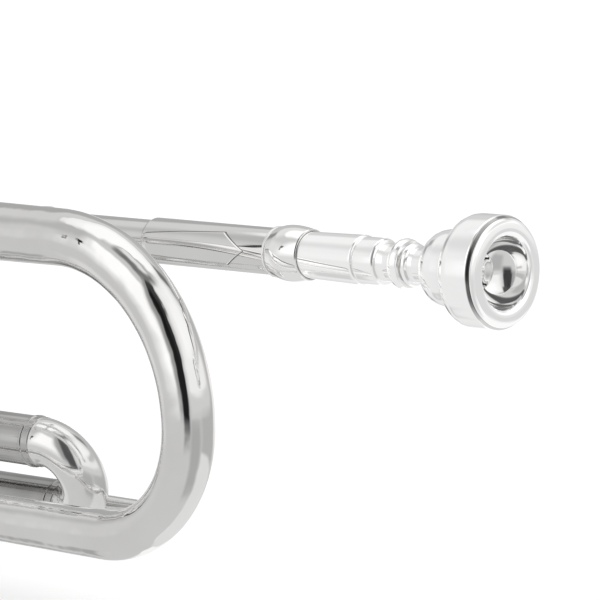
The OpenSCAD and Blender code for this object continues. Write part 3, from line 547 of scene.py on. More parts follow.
rec = [(6.2, 62.3), (6.42, 62.6), (6.6, 63.6), (6.82, 65), (7.0, 66.6), (KR, 68), (KR - 0.02, 69.2), (KR - 0.16, 70.4), (KR - 0.42, 71.5),
       (6.45, 72.3), (6.15, 72.6), (6.15, 72.8), (6.42, 72.95), (6.42, 73.5), (6.1, 73.68), (5.56, 73.68), (5.83, 62.3)]
Shape().lathe(fillet(rec, 0.12, n=4), (MX, LY, LZ), -X, seg=160).out("receiver_silver", "leadpipe_pull", SILVER_RECV, "mouthpiece_receiver")
slv = [(5.57, 73.7), (SR, 73.7), (SR, 115.3), (SR - 0.3, 116), (LR + 0.02, 116), (LR + 0.02, 79), (5.45, 78.2)]
Shape().lathe(fillet(slv, 0.12, n=4), (MX, LY, LZ), -X, seg=160).out("leadpipe_sleeve_silver", "leadpipe_pull", SILVER_LEAD, "leadpipe_sleeve")
Shape().lathe(tube_prof(LR, 4.55, 300, MX - 79.2), (0, LY, LZ), X, seg=160).out("leadpipe_silver", "leadpipe_pull", SILVER_LEAD, "leadpipe")


def wrapped_plate(grow, th, lift):
    """Thin pointed plate that hugs the sleeve, edges rolled down on to it."""
    x0, x2 = MX - 115.2, MX - 80.2 + grow * 1.5
    V, F, nx, na = [], [], 110, 44
    tx, tz = (x0, MX - 102, MX - 87.7 + grow * 0.55, x2), (2.4 + grow, 3.5 + grow, 4.2 + grow, 0.15)
    bx, bz = (x0, MX - 86.4 + grow * 0.55, x2), (-2.9 - grow, -3.6 - grow, 0.15)
    for i in range(nx + 1):
        u = i / nx
        x = x0 + (x2 - x0) * (u ** 0.7 if u > 0 else 0)
        top, bot = LZ + float(np.interp(x, tx, tz)), LZ + float(np.interp(x, bx, bz))
        for k in range(na + 1):
            v = 0.5 - 0.5 * math.cos(PI * k / na)
            z = bot + (top - bot) * v
            dz = z - LZ
            e = min((z - bot) / math.hypot(1, (0.72 if x > bx[1] else 0.02)), (top - z) / math.hypot(1, (0.54 if x > tx[2] else 0.06)), (x - x0) * 0.12)
            e = max(0.0, min(1.0, e / 0.30))
            r = SR + lift + (th - lift) * math.sin(e * PI / 2) ** 0.8
            a = math.asin(max(-1, min(1, dz / SR)))
            V.append((x, LY - r * math.cos(a), LZ + r * math.sin(a)))
    for i in range(nx):
        for k in range(na):
            a = i * (na + 1) + k
            F.append((a, a + 1, a + na + 2, a + na + 1))
    return V, F


V, F = wrapped_plate(0.0, 0.46, -0.02)
piece("spear_plate_silver", V, F, "leadpipe_pull", SILVER_LEAD, "spear_plate", angle=50)
V, F = wrapped_plate(0.26, 0.035, -0.03)
piece("spear_solder_seam", V, F, "leadpipe_pull", SEAM, angle=60)

# tuning sleeve with its boss and lock screw
s = Shape()
s.lathe(fillet([(LR + 0.03, 294.5), (6.1, 294.5), (6.1, 312.6), (6.2, 312.9), (6.25, 313.3), (6.25, 315.1), (6.1, 315.5), (LR + 0.03, 315.5)], 0.2, n=4), (0, LY, LZ), X, seg=128)
s.lathe(fillet([(1.33, 5.2), (3.1, 5.5), (2.6, 6.5), (2.5, 7.2), (2.5, 9.4), (1.33, 9.4)], 0.25, n=4), (302, LY, LZ), Y, seg=64)
s.out("tuning_sleeve_silver", "horn", SILVER, "tuning_sleeve")


def knurl(teeth, depth, s0, s1):
    def f(a, s, r):
        if not s0 < s < s1:
            return 0.0
        w = min(1.0, (s - s0) / 0.35, (s1 - s) / 0.35)
        c = (a * teeth / (2 * PI)) % 1.0
        return -depth * w * (1 - abs(2 * c - 1)) ** 0.8
    return f


s = Shape()
y0 = LR + 0.35
s.lathe(fillet([(0, y0), (1.3, y0), (1.3, y0 + 4.3), (2.0, y0 + 4.3), (2.0, y0 + 5.2), (2.4, y0 + 5.2), (2.7, y0 + 5.6)]
               + [(2.7, y0 + 5.9 + 0.3 * i) for i in range(10)] + [(2.7, y0 + 9.2), (2.3, y0 + 9.6), (1.2, y0 + 9.6), (1.0, y0 + 9.25), (0, y0 + 9.2)], 0.15, closed=False, n=3),
        (302, LY, LZ), Y, closed=False, seg=192, mod=knurl(26, 0.26, y0 + 5.5, y0 + 9.3))
s.out("lock_screw_steel", "lock_screw", SCREW, "tuning_lock_screw", slot="steel_screw")

# mouthpipe branch into valve 1
BRR, BRA = 26.7, 51.9
bx_ = 294.2
bx2 = bx_ - 2 * BRR * math.sin(math.radians(BRA))
st = line((299, LY, LZ), (292.8, LY, LZ), -Z, LR - 0.01)
st += [((292.55, LY, LZ), -X, -Z, 5.3), ((292.35, LY, LZ), -X, -Z, 5.46), ((292.1, LY, LZ), -X, -Z, 5.5)]
n_ = 40
for i in range(n_ + 1):
    a = math.radians(i * BRA / n_)
    st.append(((bx_ - BRR * math.sin(a), LY, LZ - BRR + BRR * math.cos(a)), (-math.cos(a), 0, -math.sin(a)), (math.sin(a), 0, -math.cos(a)), 5.5))
st = [q for q in st if not (q[3] == 5.5 and q[0][0] > 292.3)]
for i in range(n_ - 1, -1, -1):
    a = math.radians(i * BRA / n_)
    st.append(((bx2 + BRR * math.sin(a), LY, PORT_Z + BRR - BRR * math.cos(a)), (-math.cos(a), 0, -math.sin(a)), (math.sin(a), 0, -math.cos(a)), 5.5))
for x, r in ((250.2, 5.5), (250.1, 5.75), (249.8, 5.95), (249.4, 6.0), (246.6, 6.0), (246.2, 5.95), (245.9, 5.75), (245.8, 5.5), (VX[0] + 8.64, 5.5)):
    st.append(((x, LY, PORT_Z), -X, -Z, r))
Shape().sweep(st, 96).out("mouthpipe_branch_silver", "horn", SILVER, "mouthpipe_branch")

# ------------------------------------------------------------------ bell and bows
xs = [1.2 + 0.4 * i for i in range(40)] + [17.6 + 1.2 * i for i in range(40)] + [66 + 3 * i for i in range(70)] + [BELL_X1]
outer = [(bell_r(x), x) for x in xs]
inner = []
for x in reversed(xs):
    g = (bell_r(x + 0.3) - bell_r(x)) / 0.3
    t = WALL * math.sqrt(1 + min(g * g, 5))
    inner.append((bell_r(x) - min(t, 1.3), x))
Shape().lathe(outer + inner, (0, 0, 0), X, seg=256).out("bell_silver", "horn", SILVER, "bell", angle=40)
RIN = bell_r(1.2) - 1.2
rim = [(RIN - 0.3, 0.55), (RIN, 0.12), (RIN + 0.5, 0), (RIN + 2.4, 0), (RIN + 3.05, 0.28), (RIN + 3.45, 0.85), (RIN + 3.55, 1.4), (RIN + 3.35, 2.05), (RIN + 2.8, 2.55),
       (RIN + 2.1, 2.75), (RIN + 1.45, 2.7), (RIN + 1.28, 1.2), (RIN - 0.38, 1.18)]
Shape().lathe(fillet(rim, 0.4, n=4), (0, 0, 0), X, seg=256).out("bell_rim_silver", "horn", SILVER, "bell_rim_wire", angle=45)


def band(ri, r, s0, s1, lip=0.4, w=1.4):
    """Ferrule: a sleeve with a rolled bead at both ends."""
    return fillet([(ri, s0), (r + lip * 0.7, s0), (r + lip, s0 + 0.3), (r + lip, s0 + w - 0.35), (r + lip * 0.6, s0 + w - 0.1), (r, s0 + w + 0.05), (r, s1 - w - 0.05),
                   (r + lip * 0.6, s1 - w + 0.1), (r + lip, s1 - w + 0.35), (r + lip, s1 - 0.3), (r + lip * 0.7, s1), (ri, s1)], 0.25, n=4)


BER = bell_r(BELL_X1)
Shape().lathe(band(BER + 0.1, BER + 0.75, BELL_X1 - 7, BELL_X1 + 7, 0.4, 1.6), (0, 0, 0), X, seg=160).out("bell_ferrule_silver", "horn", SILVER, "bell_ferrule")


def up_r(x):
    return BRM + BGU * (PI * BRU / 2 + BX - BRU - x)


def low_r(x):
    return BRM - BGL * (PI * BRL / 2 + BX - BRL - x)


st = []
for i in range(13):
    x = BELL_X1 + (BX - BRU - BELL_X1) * i / 12
    st.append(((x, 0, 0), X, Z, up_r(x), up_r(x) - WALL))
for i in range(1, 73):
    a = math.radians(90 - i * 90 / 72)
    r = BRM + BGU * BRU * a
    st.append(((BX - BRU + BRU * math.cos(a), 0, -BRU + BRU * math.sin(a)), (math.sin(a), 0, -math.cos(a)), (math.cos(a), 0, math.sin(a)), r, r - WALL))
for i in range(1, 61):
    a = math.radians(-i * 90 / 60)
    r = BRM + BGL * BRL * a
    st.append(((BX - BRL + BRL * math.cos(a), 0, -BRU + BRL * math.sin(a)), (math.sin(a), 0, -math.cos(a)), (math.cos(a), 0, math.sin(a)), r, r - WALL))
for i in range(1, 13):
    x = BX - BRL + (LOW_X1 - BX + BRL) * i / 12
    st.append(((x, 0, -BH), -X, -Z, low_r(x), low_r(x) - WALL))
Shape().sweep(st, 144).out("rear_bow_silver", "horn", SILVER_BOW, "rear_bow", angle=40)

Shape().lathe(tube_prof(LOW_R, LOW_R - WALL, FBX + 0.02, LOW_X1 - 0.02), (0, 0, -BH), X, seg=128).out("lower_branch_silver", "horn", SILVER_TUBE, "lower_branch")
e2 = Vector((0, math.sin(FBT), math.cos(FBT)))
fbc = Vector((FBX, FBY / 2, (FBZ - BH) / 2))
Shape().sweep(arc(fbc, e2, -X, FBR, 0, 180, 96, LOW_R, LOW_R - WALL), 96).out("front_bow_silver", "horn", SILVER, "front_bow")
Shape().lathe(tube_prof(LOW_R, LOW_R - WALL, FBX + 0.02, FBX + 44), (0, FBY, FBZ), X, seg=128).out("front_branch_silver", "horn", SILVER_TUBE, "front_branch")
s = Shape()
s.lathe(band(LOW_R + 0.06, LOW_R + 0.75, LOW_X1 - 6, LOW_X1 + 6), (0, 0, -BH), X, seg=128)
s.lathe(band(LOW_R + 0.06, LOW_R + 0.75, FBX - 0.5, FBX + 9.5), (0, 0, -BH), X, seg=128)
s.lathe(band(LOW_R + 0.06, LOW_R + 0.75, FBX - 0.5, FBX + 9.5), (0, FBY, FBZ), X, seg=128)
s.out("branch_ferrules_silver", "horn", SILVER, "branch_ferrules")

# ------------------------------------------------------------------ valves
for i in range(3):
    cas = [(8.6, C_BOT), (CR, C_BOT), (CR, C_BOT + 8.9), (CR + 0.35, C_BOT + 9.0), (CR + 0.5, C_BOT + 9.4), (CR + 0.5, C_BOT + 11.0), (CR + 0.35, C_BOT + 11.4), (CR, C_BOT + 11.5),
           (CR, 5.1), (CR + 0.35, 5.2), (CR + 0.5, 5.6), (CR + 0.5, 7.2), (CR + 0.35, 7.6), (CR, 7.7), (CR, C_TOP), (8.6, C_TOP)]
    Shape().lathe(fillet(cas, 0.25, n=4), (VX[i], VY, 0), Z, seg=144).out(f"casing_{i + 1}_silver", "horn", SILVER_TUBE if i != 9 else SILVER, f"valve_{i + 1}_casing")
s = Shape()
for x0, x1, z in ((VX[1] + 8.64, VX[0] - 8.64, -40), (VX[2] + 8.64, VX[1] - 8.64, -56)):
    s.lathe(fillet([(0, x0), (5.6, x0), (5.6, x1), (0, x1)], 0.2, n=3), (0, VY, z), X, seg=96)
    xm = (x0 + x1) / 2
    s.lathe(fillet([(5.5, xm - 1.55), (6.0, xm - 1.3), (6.0, xm + 1.3), (5.5, xm + 1.55)], 0.3, n=4), (0, VY, z), X, seg=96)
s.out("crossovers_silver", "horn", SILVER, "valve_crossovers")

# valve springs: they stand on the guides
for i in range(3):
    lo, hi = [[c / MM for c in q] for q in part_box(f"valve_spring_{i + 1}")]
    wr, turns, seg, side_n = 0.42, 7, 44, 12
    cr, z0, z1 = (hi[0] - lo[0]) / 2 - wr, lo[2] + wr, hi[2] - wr
    V, F, N = [], [], turns * seg
    for k in range(N + 1):
        u = k / N
        g = min(1, max(0, (u - 0.09) / 0.82))
        t = 2 * PI * turns * u
        z = z0 + (z1 - z0) * g
        for j in range(side_n):
            a = 2 * PI * j / side_n
            r = cr + wr * math.cos(a)
            V.append(((lo[0] + hi[0]) / 2 + r * math.cos(t), (lo[1] + hi[1]) / 2 + r * math.sin(t), z + wr * math.sin(a)))
    for k in range(N):
        for j in range(side_n):
            a, b = k * side_n + j, k * side_n + (j + 1) % side_n
            F.append((a, b, b + side_n, a + side_n))
    F.append(tuple(range(side_n))[::-1])
    F.append(tuple(N * side_n + j for j in range(side_n)))
    ob = piece(f"spring_{i + 1}_wire", V, F, "horn", SPRING, f"valve_spring_{i + 1}", angle=60, slot="spring_steel")
    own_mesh(ob)

for i in range(3):
    tz = BARREL_TOP
    bz = BUTTON_Z
    sp = [(0, tz - 1.4), (2.0, tz - 1.4), (2.0, tz + 0.02), (2.8, tz + 0.02), (2.8, bz - 3.1), (3.3, bz - 2.75), (3.3, bz - 2.55), (2.8, bz - 2.5), (2.8, bz - 0.3), (4.0, bz),
          (BUTTON_D / 2 - 1.4, bz + 0.75), (BUTTON_D / 2 - 0.5, bz + 1.2), (BUTTON_D / 2, bz + 1.75), (BUTTON_D / 2, bz + 2.75), (BUTTON_D / 2 - 0.25, bz + 3.25), (BUTTON_D / 2 - 0.8, bz + 3.5),
          (6.15, bz + 3.5), (6.0, bz + 3.3), (6.0, bz + 2.3), (0, bz + 2.3)]
    Shape().lathe(fillet(sp, 0.2, closed=False, n=4), (VX[i], VY, 0), Z, closed=False, seg=128).out(f"stem_{i + 1}_silver", f"valve_{i + 1}", SILVER, f"stem_{i + 1}")
    pz = bz + 2.32
    pp = [(0, pz), (5.95, pz), (5.95, pz + 0.9)] + [(5.95 * math.cos(math.radians(t)) ** 0.9, pz + 0.95 + 1.02 * math.sin(math.radians(t))) for t in (12, 24, 36, 48, 60, 72, 82)] + [(0, pz + 1.98)]
    Shape().lathe(fillet(pp, 0.25, closed=False, n=3), (VX[i], VY, 0), Z, closed=False, seg=96).out(f"pearl_{i + 1}_inlay", f"valve_{i + 1}", PEARL, f"pearl_{i + 1}", slot="pearl")
    rng = np.random.default_rng(40 + i)
    ph = rng.uniform(0, 6.28, 12)
    fuzz = lambda a, s, r, ph=ph: 0.07 * sum(math.sin((5 + 7 * q) * a + ph[q] + 2.1 * s * (q + 1)) for q in range(9)) / 3.0
    Shape().lathe(fillet([(2.84, bz - 2.5), (5.1, bz - 2.5), (5.1, bz - 1.8), (5.12, bz - 1.2), (5.1, bz - 0.6), (5.0, bz - 0.1), (3.9, bz - 0.05), (2.84, bz - 0.35)], 0.45, n=5), (VX[i], VY, 0), Z,
                  seg=120, mod=fuzz).out(f"stem_felt_{i + 1}_soft", f"valve_{i + 1}", FELT, f"stem_felt_{i + 1}", slot="black_felt")

s = Shape()
kn = knurl(64, 0.30, 9.3, 12.9)
cap = [(CR + 0.02, 8.6), (CR + 0.95, 8.6), (CR + 1.15, 8.9), (CR + 1.15, 9.25)] + [(CR + 1.15, 9.3 + 0.3 * q) for q in range(13)] + [(CR + 1.15, 13.2), (CR + 1.15, 13.6), (CR + 0.95, 14.1), (CR + 0.5, 14.9),
       (CR - 0.6, 15.9), (8.4, 16.55), (7.2, 16.95), (6.0, 17.25), (5.4, 17.5), (5.25, 18.1), (5.1, CAP_TOP - 0.1), (4.8, CAP_TOP), (3.4, CAP_TOP), (3.4, 15.62), (8.9, 15.62), (8.9, 15.05), (CR + 0.02, 15.05)]
for x in VX:
    s.lathe(fillet(cap, 0.14, n=3), (x, VY, 0), Z, seg=384, mod=kn)
s.out("top_caps_silver", "horn", SILVER, "top_caps", angle=38)
s = Shape()
b0 = C_BOT
kb = knurl(64, 0.30, b0 + 1.1, b0 + 5.8)
cap = [(CR + 0.02, b0 + 6.5), (CR + 0.95, b0 + 6.5), (CR + 1.15, b0 + 6.2)] + [(CR + 1.15, b0 + 5.9 - 0.3 * q) for q in range(17)] + [(CR + 1.15, b0 + 0.8), (CR + 1.0, b0 + 0.2), (CR + 0.6, b0 - 0.5),
       (CR - 0.4, b0 - 1.15), (CR - 1.6, b0 - 1.5), (7.0, b0 - 1.85), (4.9, b0 - 2.15), (4.5, b0 - 2.6), (4.35, b0 - 3.6), (4.15, b0 - 4.3), (3.7, b0 - 4.7), (3.2, b0 - 4.8), (1.6, b0 - 4.8),
       (1.6, b0 - 1.0), (8.6, b0 - 0.6), (8.8, b0 - 0.05), (CR + 0.02, b0 - 0.05)]
for x in VX:
    s.lathe(fillet(cap, 0.14, n=3), (x, VY, 0), Z, seg=384, mod=kb)
s.out("bottom_caps_silver", "horn", SILVER, "bottom_caps", angle=38)

# ------------------------------------------------------------------ slides
s = Shape()
for y, z in ((S1Y, S1Z), (S1Y2, S1Z2)):
    s.lathe(tube_prof(SLO, SLI, 238, S1X, 0.16), (0, y, z), X, seg=144)
s.out("first_slide_sleeves_silver", "horn", SILVER_SLEEVE_SHADE, "first_slide_sleeves")
s = Shape()
for y, z in ((S1Y, S1Z), (S1Y2, S1Z2)):
    s.lathe(tube_prof(INO, INI, 256, S1XC - 0.02), (0, y, z), X, seg=128)
s.out("first_slide_tubes_nickel", "first_slide", NICKEL, "first_slide_tubes")
s = Shape()
for y, z in ((S1Y, S1Z), (S1Y2, S1Z2)):
    s.lathe(fillet([(INO + 0.02, S1X + 0.04), (SLO + 0.18, S1X + 0.04), (SLO + 0.28, S1X + 0.2), (SLO + 0.28, S1X + 0.75), (SLO + 0.12, S1X + 0.95), (SLO, S1X + 1.0), (SLO - 0.02, S1XC - 0.5),
                    (SLO - 0.25, S1XC - 0.1), (INO + 0.02, S1XC - 0.04)], 0.12, n=4), (0, y, z), X, seg=144)
s.out("first_slide_ferrules_silver", "first_slide", SILVER_SLEEVE_SHADE, "first_slide_ferrules")
up1 = Vector((0, -math.sin(S1T), math.cos(S1T)))
cc = Vector((S1XC, (S1Y + S1Y2) / 2, (S1Z + S1Z2) / 2))


def crook_r(u):
    e = min(u, 1 - u)
    return CKR + 0.34 * math.exp(-(e / 0.10) ** 1.4)


Shape().sweep(arc(cc, up1, X, S1R, 0, 180, 96, crook_r, INI), 128).out("first_slide_crook_silver", "first_slide", SILVER_CROOK, "first_slide_crook")

s = Shape()
for z in (S2Z, S2Z - 2 * S2R):
    s.lathe(tube_prof(SLO, SLI, VY + 7, S2Y, 0.16), (VX[1], 0, z), Y, seg=128)
    s.lathe(fillet([(SLO - 0.05, S2Y - 2.2), (SLO + 0.22, S2Y - 2.0), (SLO + 0.25, S2Y - 0.4), (SLO - 0.05, S2Y - 0.1)], 0.2, n=3), (VX[1], 0, z), Y, seg=128)
s.out("second_slide_sleeves_silver", "horn", SILVER, "second_slide_sleeves")
s = Shape()
for z in (S2Z, S2Z - 2 * S2R):
    s.lathe(tube_prof(INO, INI, 41, S2YC - 0.02), (VX[1], 0, z), Y, seg=128)
    s.lathe(fillet([(INO, S2Y + 0.04), (SLO + 0.2, S2Y + 0.04), (SLO + 0.28, S2Y + 0.4), (SLO + 0.05, S2Y + 1.0), (SLO, S2YC - 0.5), (SLO - 0.25, S2YC - 0.1), (INO, S2YC - 0.04)], 0.15, n=4), (VX[1], 0, z), Y, seg=128)
s.out("second_slide_tubes_nickel", "second_slide", NICKEL, "second_slide_tubes")
Shape().sweep(arc((VX[1], S2YC, S2Z - S2R), Z, Y, S2R, 0, 180, 80, crook_r, INI), 112).out("second_slide_crook_silver", "second_slide", SILVER, "second_slide_crook")
kp = S2YC + S2R + CKR - 1.2
Shape().lathe(fillet([(0, kp - 0.4), (2.6, kp - 0.4), (2.6, kp + 1.6), (2.1, kp + 2.3), (1.5, kp + 2.9), (1.5, kp + 3.5), (2.3, kp + 4.0), (3.0, kp + 4.5), (3.2, kp + 5.4), (3.05, kp + 6.2), (2.5, kp + 6.9), (1.4, kp + 7.3), (0, kp + 7.4)],
                     0.4, closed=False, n=4), (VX[1], 0, S2Z - S2R), Y, closed=False, seg=96).out("second_slide_knob_silver", "second_slide", SILVER, "second_slide_knob")

s = Shape()
for z in (S3Z, S3Z - 2 * S3R):
    L = VX[2] - S3X
    s.lathe(fillet([(SLI, 0), (SLO, 0), (SLO, L - 6), (6.35, L - 3.9), (5.7, L - 1.9), (4.6, L - 0.5), (2.6, L + 0.3), (0, L + 0.5), (0, L - 6), (SLI, L - 6)], 0.4, closed=True, n=4), (S3X, S3Y, z), X, seg=128)
    s.lathe(fillet([(SLO - 0.05, -0.02), (SLO + 0.25, 0.15), (SLO + 0.25, 1.9), (SLO - 0.05, 2.1)], 0.2, n=3), (S3X, S3Y, z), X, seg=128)
s.out("third_slide_sleeves_silver", "horn", SILVER_TUBE, "third_slide_sleeves")
s = Shape()
L3 = S3X - S3XC
for z in (S3Z, S3Z - 2 * S3R):
    s.lathe(fillet([(INI, 0), (CKR, 0), (CKR, L3 - 4.2), (SLO - 0.1, L3 - 4.05), (SLO + 0.25, L3 - 3.6), (SLO + 0.25, L3 - 0.3), (SLO + 0.05, L3 - 0.06), (INO, L3 - 0.06), (INO, L3 + 58), (INI, L3 + 58)], 0.15, n=4),
            (S3XC + 0.02, S3Y, z), X, seg=128)
s.out("third_slide_tubes_nickel", "third_slide", NICKEL, "third_slide_tubes")
s = Shape()
s.sweep(arc((S3XC, S3Y, S3Z - S3R), Z, -X, S3R, 0, 180, 110, CKR, INI), 112)
for z in (S3Z, S3Z - 2 * S3R):
    s.lathe(band(CKR - 0.04, CKR + 0.3, -0.5, 7.5, 0.25, 1.1), (S3XC, S3Y, z), X, seg=112)
s.out("third_slide_crook_silver", "third_slide", SILVER, "third_slide_crook")
RX, RZ = 94.0, S3Z + 19.4
s = Shape()
s.sweep([(Vector((RX, S3Y, RZ)) + Vector((math.cos(t), 0, math.sin(t))) * 11.2, Vector((-math.sin(t), 0, math.cos(t))), Vector((math.cos(t), 0, math.sin(t))), (1.45, 1.75))
         for t in [2 * PI * q / 144 for q in range(145)]], 40, cap=False)
s.lathe(fillet([(0, CKR - 0.6), (3.6, CKR - 0.6), (3.4, CKR + 0.35), (2.5, CKR + 1.0), (2.0, CKR + 1.9), (2.1, CKR + 2.6), (0, CKR + 2.9)], 0.4, closed=False, n=4), (RX, S3Y, S3Z), Z, closed=False, seg=72)
s.lathe(fillet([(CKR - 0.02, -3.4), (CKR + 0.45, -3.2), (CKR + 0.5, 0), (CKR + 0.45, 3.2), (CKR - 0.02, 3.4)], 0.2, n=3), (RX, S3Y, S3Z), X, seg=96)
s.out("third_slide_ring_silver", "third_slide", SILVER, "third_slide_ring")

# ------------------------------------------------------------------ water key
WX, WZ, WCX = 88.0, S3Z - 2 * S3R - CKR - 4.4, 76.0
ZB = S3Z - 2 * S3R
s = Shape()
for sy in (-1, 1):
    V, F = [], []
    for yy in (3.5 * sy - 0.85, 3.5 * sy + 0.85):
        prof = [(2.9, 4.9), (2.3, 1.6), (2.25, 0), (1.9, -1.3), (0.95, -2.1), (0, -2.3), (-0.95, -2.1), (-1.9, -1.3), (-2.25, 0), (-2.3, 1.6), (-2.9, 4.9)]
        V += [(WX + px, S3Y + yy, WZ + pz) for px, pz in prof]
    m_ = 11
    F.append(tuple(range(m_)))
    F.append(tuple(range(2 * m_ - 1, m_ - 1, -1)))
    for k in range(m_):
        j = (k + 1) % m_
        F.append((k, m_ + k, m_ + j, j))
    s.add(V, F)
s.lathe(fillet([(0, -CKR - 1.62), (1.3, -CKR - 1.62), (1.3, -CKR - 1.0), (2.3, -CKR - 1.62 + 0.02), (2.3, -CKR + 0.8), (0, -CKR + 0.8)], 0.1, n=3), (WCX, S3Y, ZB), Z, seg=72)
s.lathe(fillet([(CKR - 0.02, -3.0), (CKR + 0.5, -2.8), (CKR + 0.5, 2.8), (CKR - 0.02, 3.0)], 0.2, n=3), (WX, S3Y, ZB), X, seg=96)
saddle = s.out("water_key_saddle_silver", "third_slide", SILVER, "water_key_saddle")
bv = saddle.modifiers.new("edges", "BEVEL")
bv.width, bv.segments, bv.limit_method, bv.angle_limit = 0.00022, 3, "ANGLE", math.radians(50)

s = Shape()
s.lathe(fillet([(1.05, -2.5), (2.1, -2.5), (2.1, 2.5), (1.05, 2.5)], 0.2, n=4), (WX, S3Y, WZ), Y, seg=64)
sec = [(math.copysign(abs(math.cos(t)) ** 0.45, math.cos(t)), math.copysign(abs(math.sin(t)) ** 0.45, math.sin(t))) for t in [2 * PI * q / 40 for q in range(40)]]
pts = [(WCX, -0.35, 1.5), (WCX + 3, -0.35, 1.45), (WCX + 7, -0.5, 1.4), (WX - 2.6, -1.1, 1.55), (WX, -1.55, 1.75), (WX + 2.6, -1.5, 1.6), (WX + 7, -2.2, 1.5), (WX + 13, -3.15, 1.7), (WX + 18, -3.95, 2.3), (WX + 20.5, -4.3, 2.9)]
st = []
for i, (px, pz, hw) in enumerate(pts):
    a, b = pts[max(0, i - 1)], pts[min(len(pts) - 1, i + 1)]
    t = Vector((b[0] - a[0], 0, b[1] - a[1])).normalized()
    st.append(((px, S3Y, WZ + pz), t, Y, (hw, 0.72)))
s.sweep(st, sec=sec)
s.lathe(fillet([(0, -1.1), (2.6, -1.1), (2.95, -0.8), (3.0, 0.9), (2.65, 1.0), (2.62, 0.2), (0, 0.2)], 0.15, closed=False, n=3), (WCX, S3Y, WZ), Z, closed=False, seg=72)
pa = Vector((math.sin(math.radians(9)), 0, math.cos(math.radians(9))))
s.lathe(fillet([(0, 0.35), (2.4, 0.25), (4.2, 0.05), (4.6, 0.4), (4.6, 0.95), (4.2, 1.3), (2.4, 1.12), (0, 1.02)], 0.25, closed=False, n=4), (WX + 20, S3Y, WZ - 4.7), pa, closed=False, seg=80)
s.out("water_key_lever_silver", "water_key", SILVER, "water_key_lever")
ch = ZB - CKR - 1.64 - WZ - 0.22
Shape().lathe(fillet([(0, 0), (2.58, 0), (2.6, ch * 0.5), (2.5, ch - 0.12), (2.3, ch), (0, ch)], 0.2, closed=False, n=4), (WCX, S3Y, WZ + 0.22), Z, closed=False, seg=64).out("water_key_cork_soft", "water_key", CORK, "water_key_cork", slot="cork")
s = Shape()
s.lathe(fillet([(0, -5.32), (1.0, -5.32), (1.6, -5.1), (1.7, -4.75), (1.7, -4.45), (0.98, -4.42), (0.98, 4.42), (0, 4.42)], 0.12, closed=False, n=3), (WX, S3Y, WZ), Y, closed=False, seg=48)
s.out("water_key_screw_steel", "third_slide", SCREW, "water_key_screw", slot="steel_screw")


# ------------------------------------------------------------------ braces, stay, hook
def post(s, p, d, L, r=1.7, rf=4.6):
    """Turned brace with a soldered foot at each end and a ring in the middle."""
    half = [(0, 0), (rf, 0), (rf, 0.55), (rf - 0.35, 0.95), (r + 0.95, 1.35), (r + 0.35, 2.1), (r, 3.2)]
    mid = [(r, L / 2 - 1.3), (r + 0.55, L / 2 - 0.95), (r + 0.75, L / 2), (r + 0.55, L / 2 + 0.95), (r, L / 2 + 1.3)] if L > 12 else []
    prof = half + mid + [(a, L - b) for a, b in reversed(half)]
    s.lathe(fillet(prof, 0.35, closed=False, n=4), p, d, closed=False, seg=80)


s = Shape()
for x in (VX[0], VX[2]):
    y0, y1 = bell_r(x) - 0.8, VY - CR + 0.9
    post(s, (x, y0, -1), Y, y1 - y0)
s.out("bell_braces_silver", "horn", SILVER, "bell_braces")
s = Shape()
for x in (VX[0], VX[2]):
    post(s, (x, LOW_R - 0.8, -BH), Y, VY - CR + 0.9 - LOW_R + 0.8)
s.out("lower_braces_silver", "horn", SILVER, "lower_braces")
s = Shape()
y0 = up_r(306) - 0.7
post(s, (306, y0, LZ), Y, LY - 5.5 - y0)
s.out("leadpipe_brace_silver", "horn", SILVER, "leadpipe_brace")

STY, STZ, ST0, ST1 = 43.0, -75.9, 262.0, 342.5
cr_ = 3.4
st = line((ST0, S1Y2 + SLO - 0.5, STZ), (ST0, STY - cr_, STZ), Z, 2.4, n=2)
st += arc((ST0 + cr_, STY - cr_, STZ), -X, Y, cr_, 0, 90, 12, 2.4)[1:]
st = [(a, b, Z, d) for a, b, c, d in st]
st += [(a, b, Z, d) for a, b, c, d in line((ST0 + cr_, STY, STZ), (ST1 - cr_, STY, STZ), Z, 2.4, n=6)[1:]]
st += [(a, b, Z, d) for a, b, c, d in arc((ST1 - cr_, STY - cr_, STZ), Y, X, cr_, 0, 90, 12, 2.4)[1:]]
st += [(a, b, Z, d) for a, b, c, d in line((ST1, STY - cr_, STZ), (ST1, 5.4, STZ), Z, 2.4, n=4)[1:]]
s = Shape()
s.sweep(st, 64)
s.lathe(fillet([(0, 0), (4.8, 0), (4.8, 0.7), (4.1, 1.3), (3.0, 2.4), (2.45, 4.2), (0, 4.3)], 0.35, closed=False, n=4), (ST0, S1Y2 + SLO - 1.6, STZ), Y, closed=False, seg=80)
s.lathe(fillet([(0, 0), (4.6, 0), (4.6, 0.8), (4.0, 1.4), (3.0, 2.5), (2.45, 4.4), (0, 4.5)], 0.35, closed=False, n=4), (ST1, 4.4, STZ), Y, closed=False, seg=80)
s.out("bow_stay_silver", "horn", SILVER, "bow_stay")

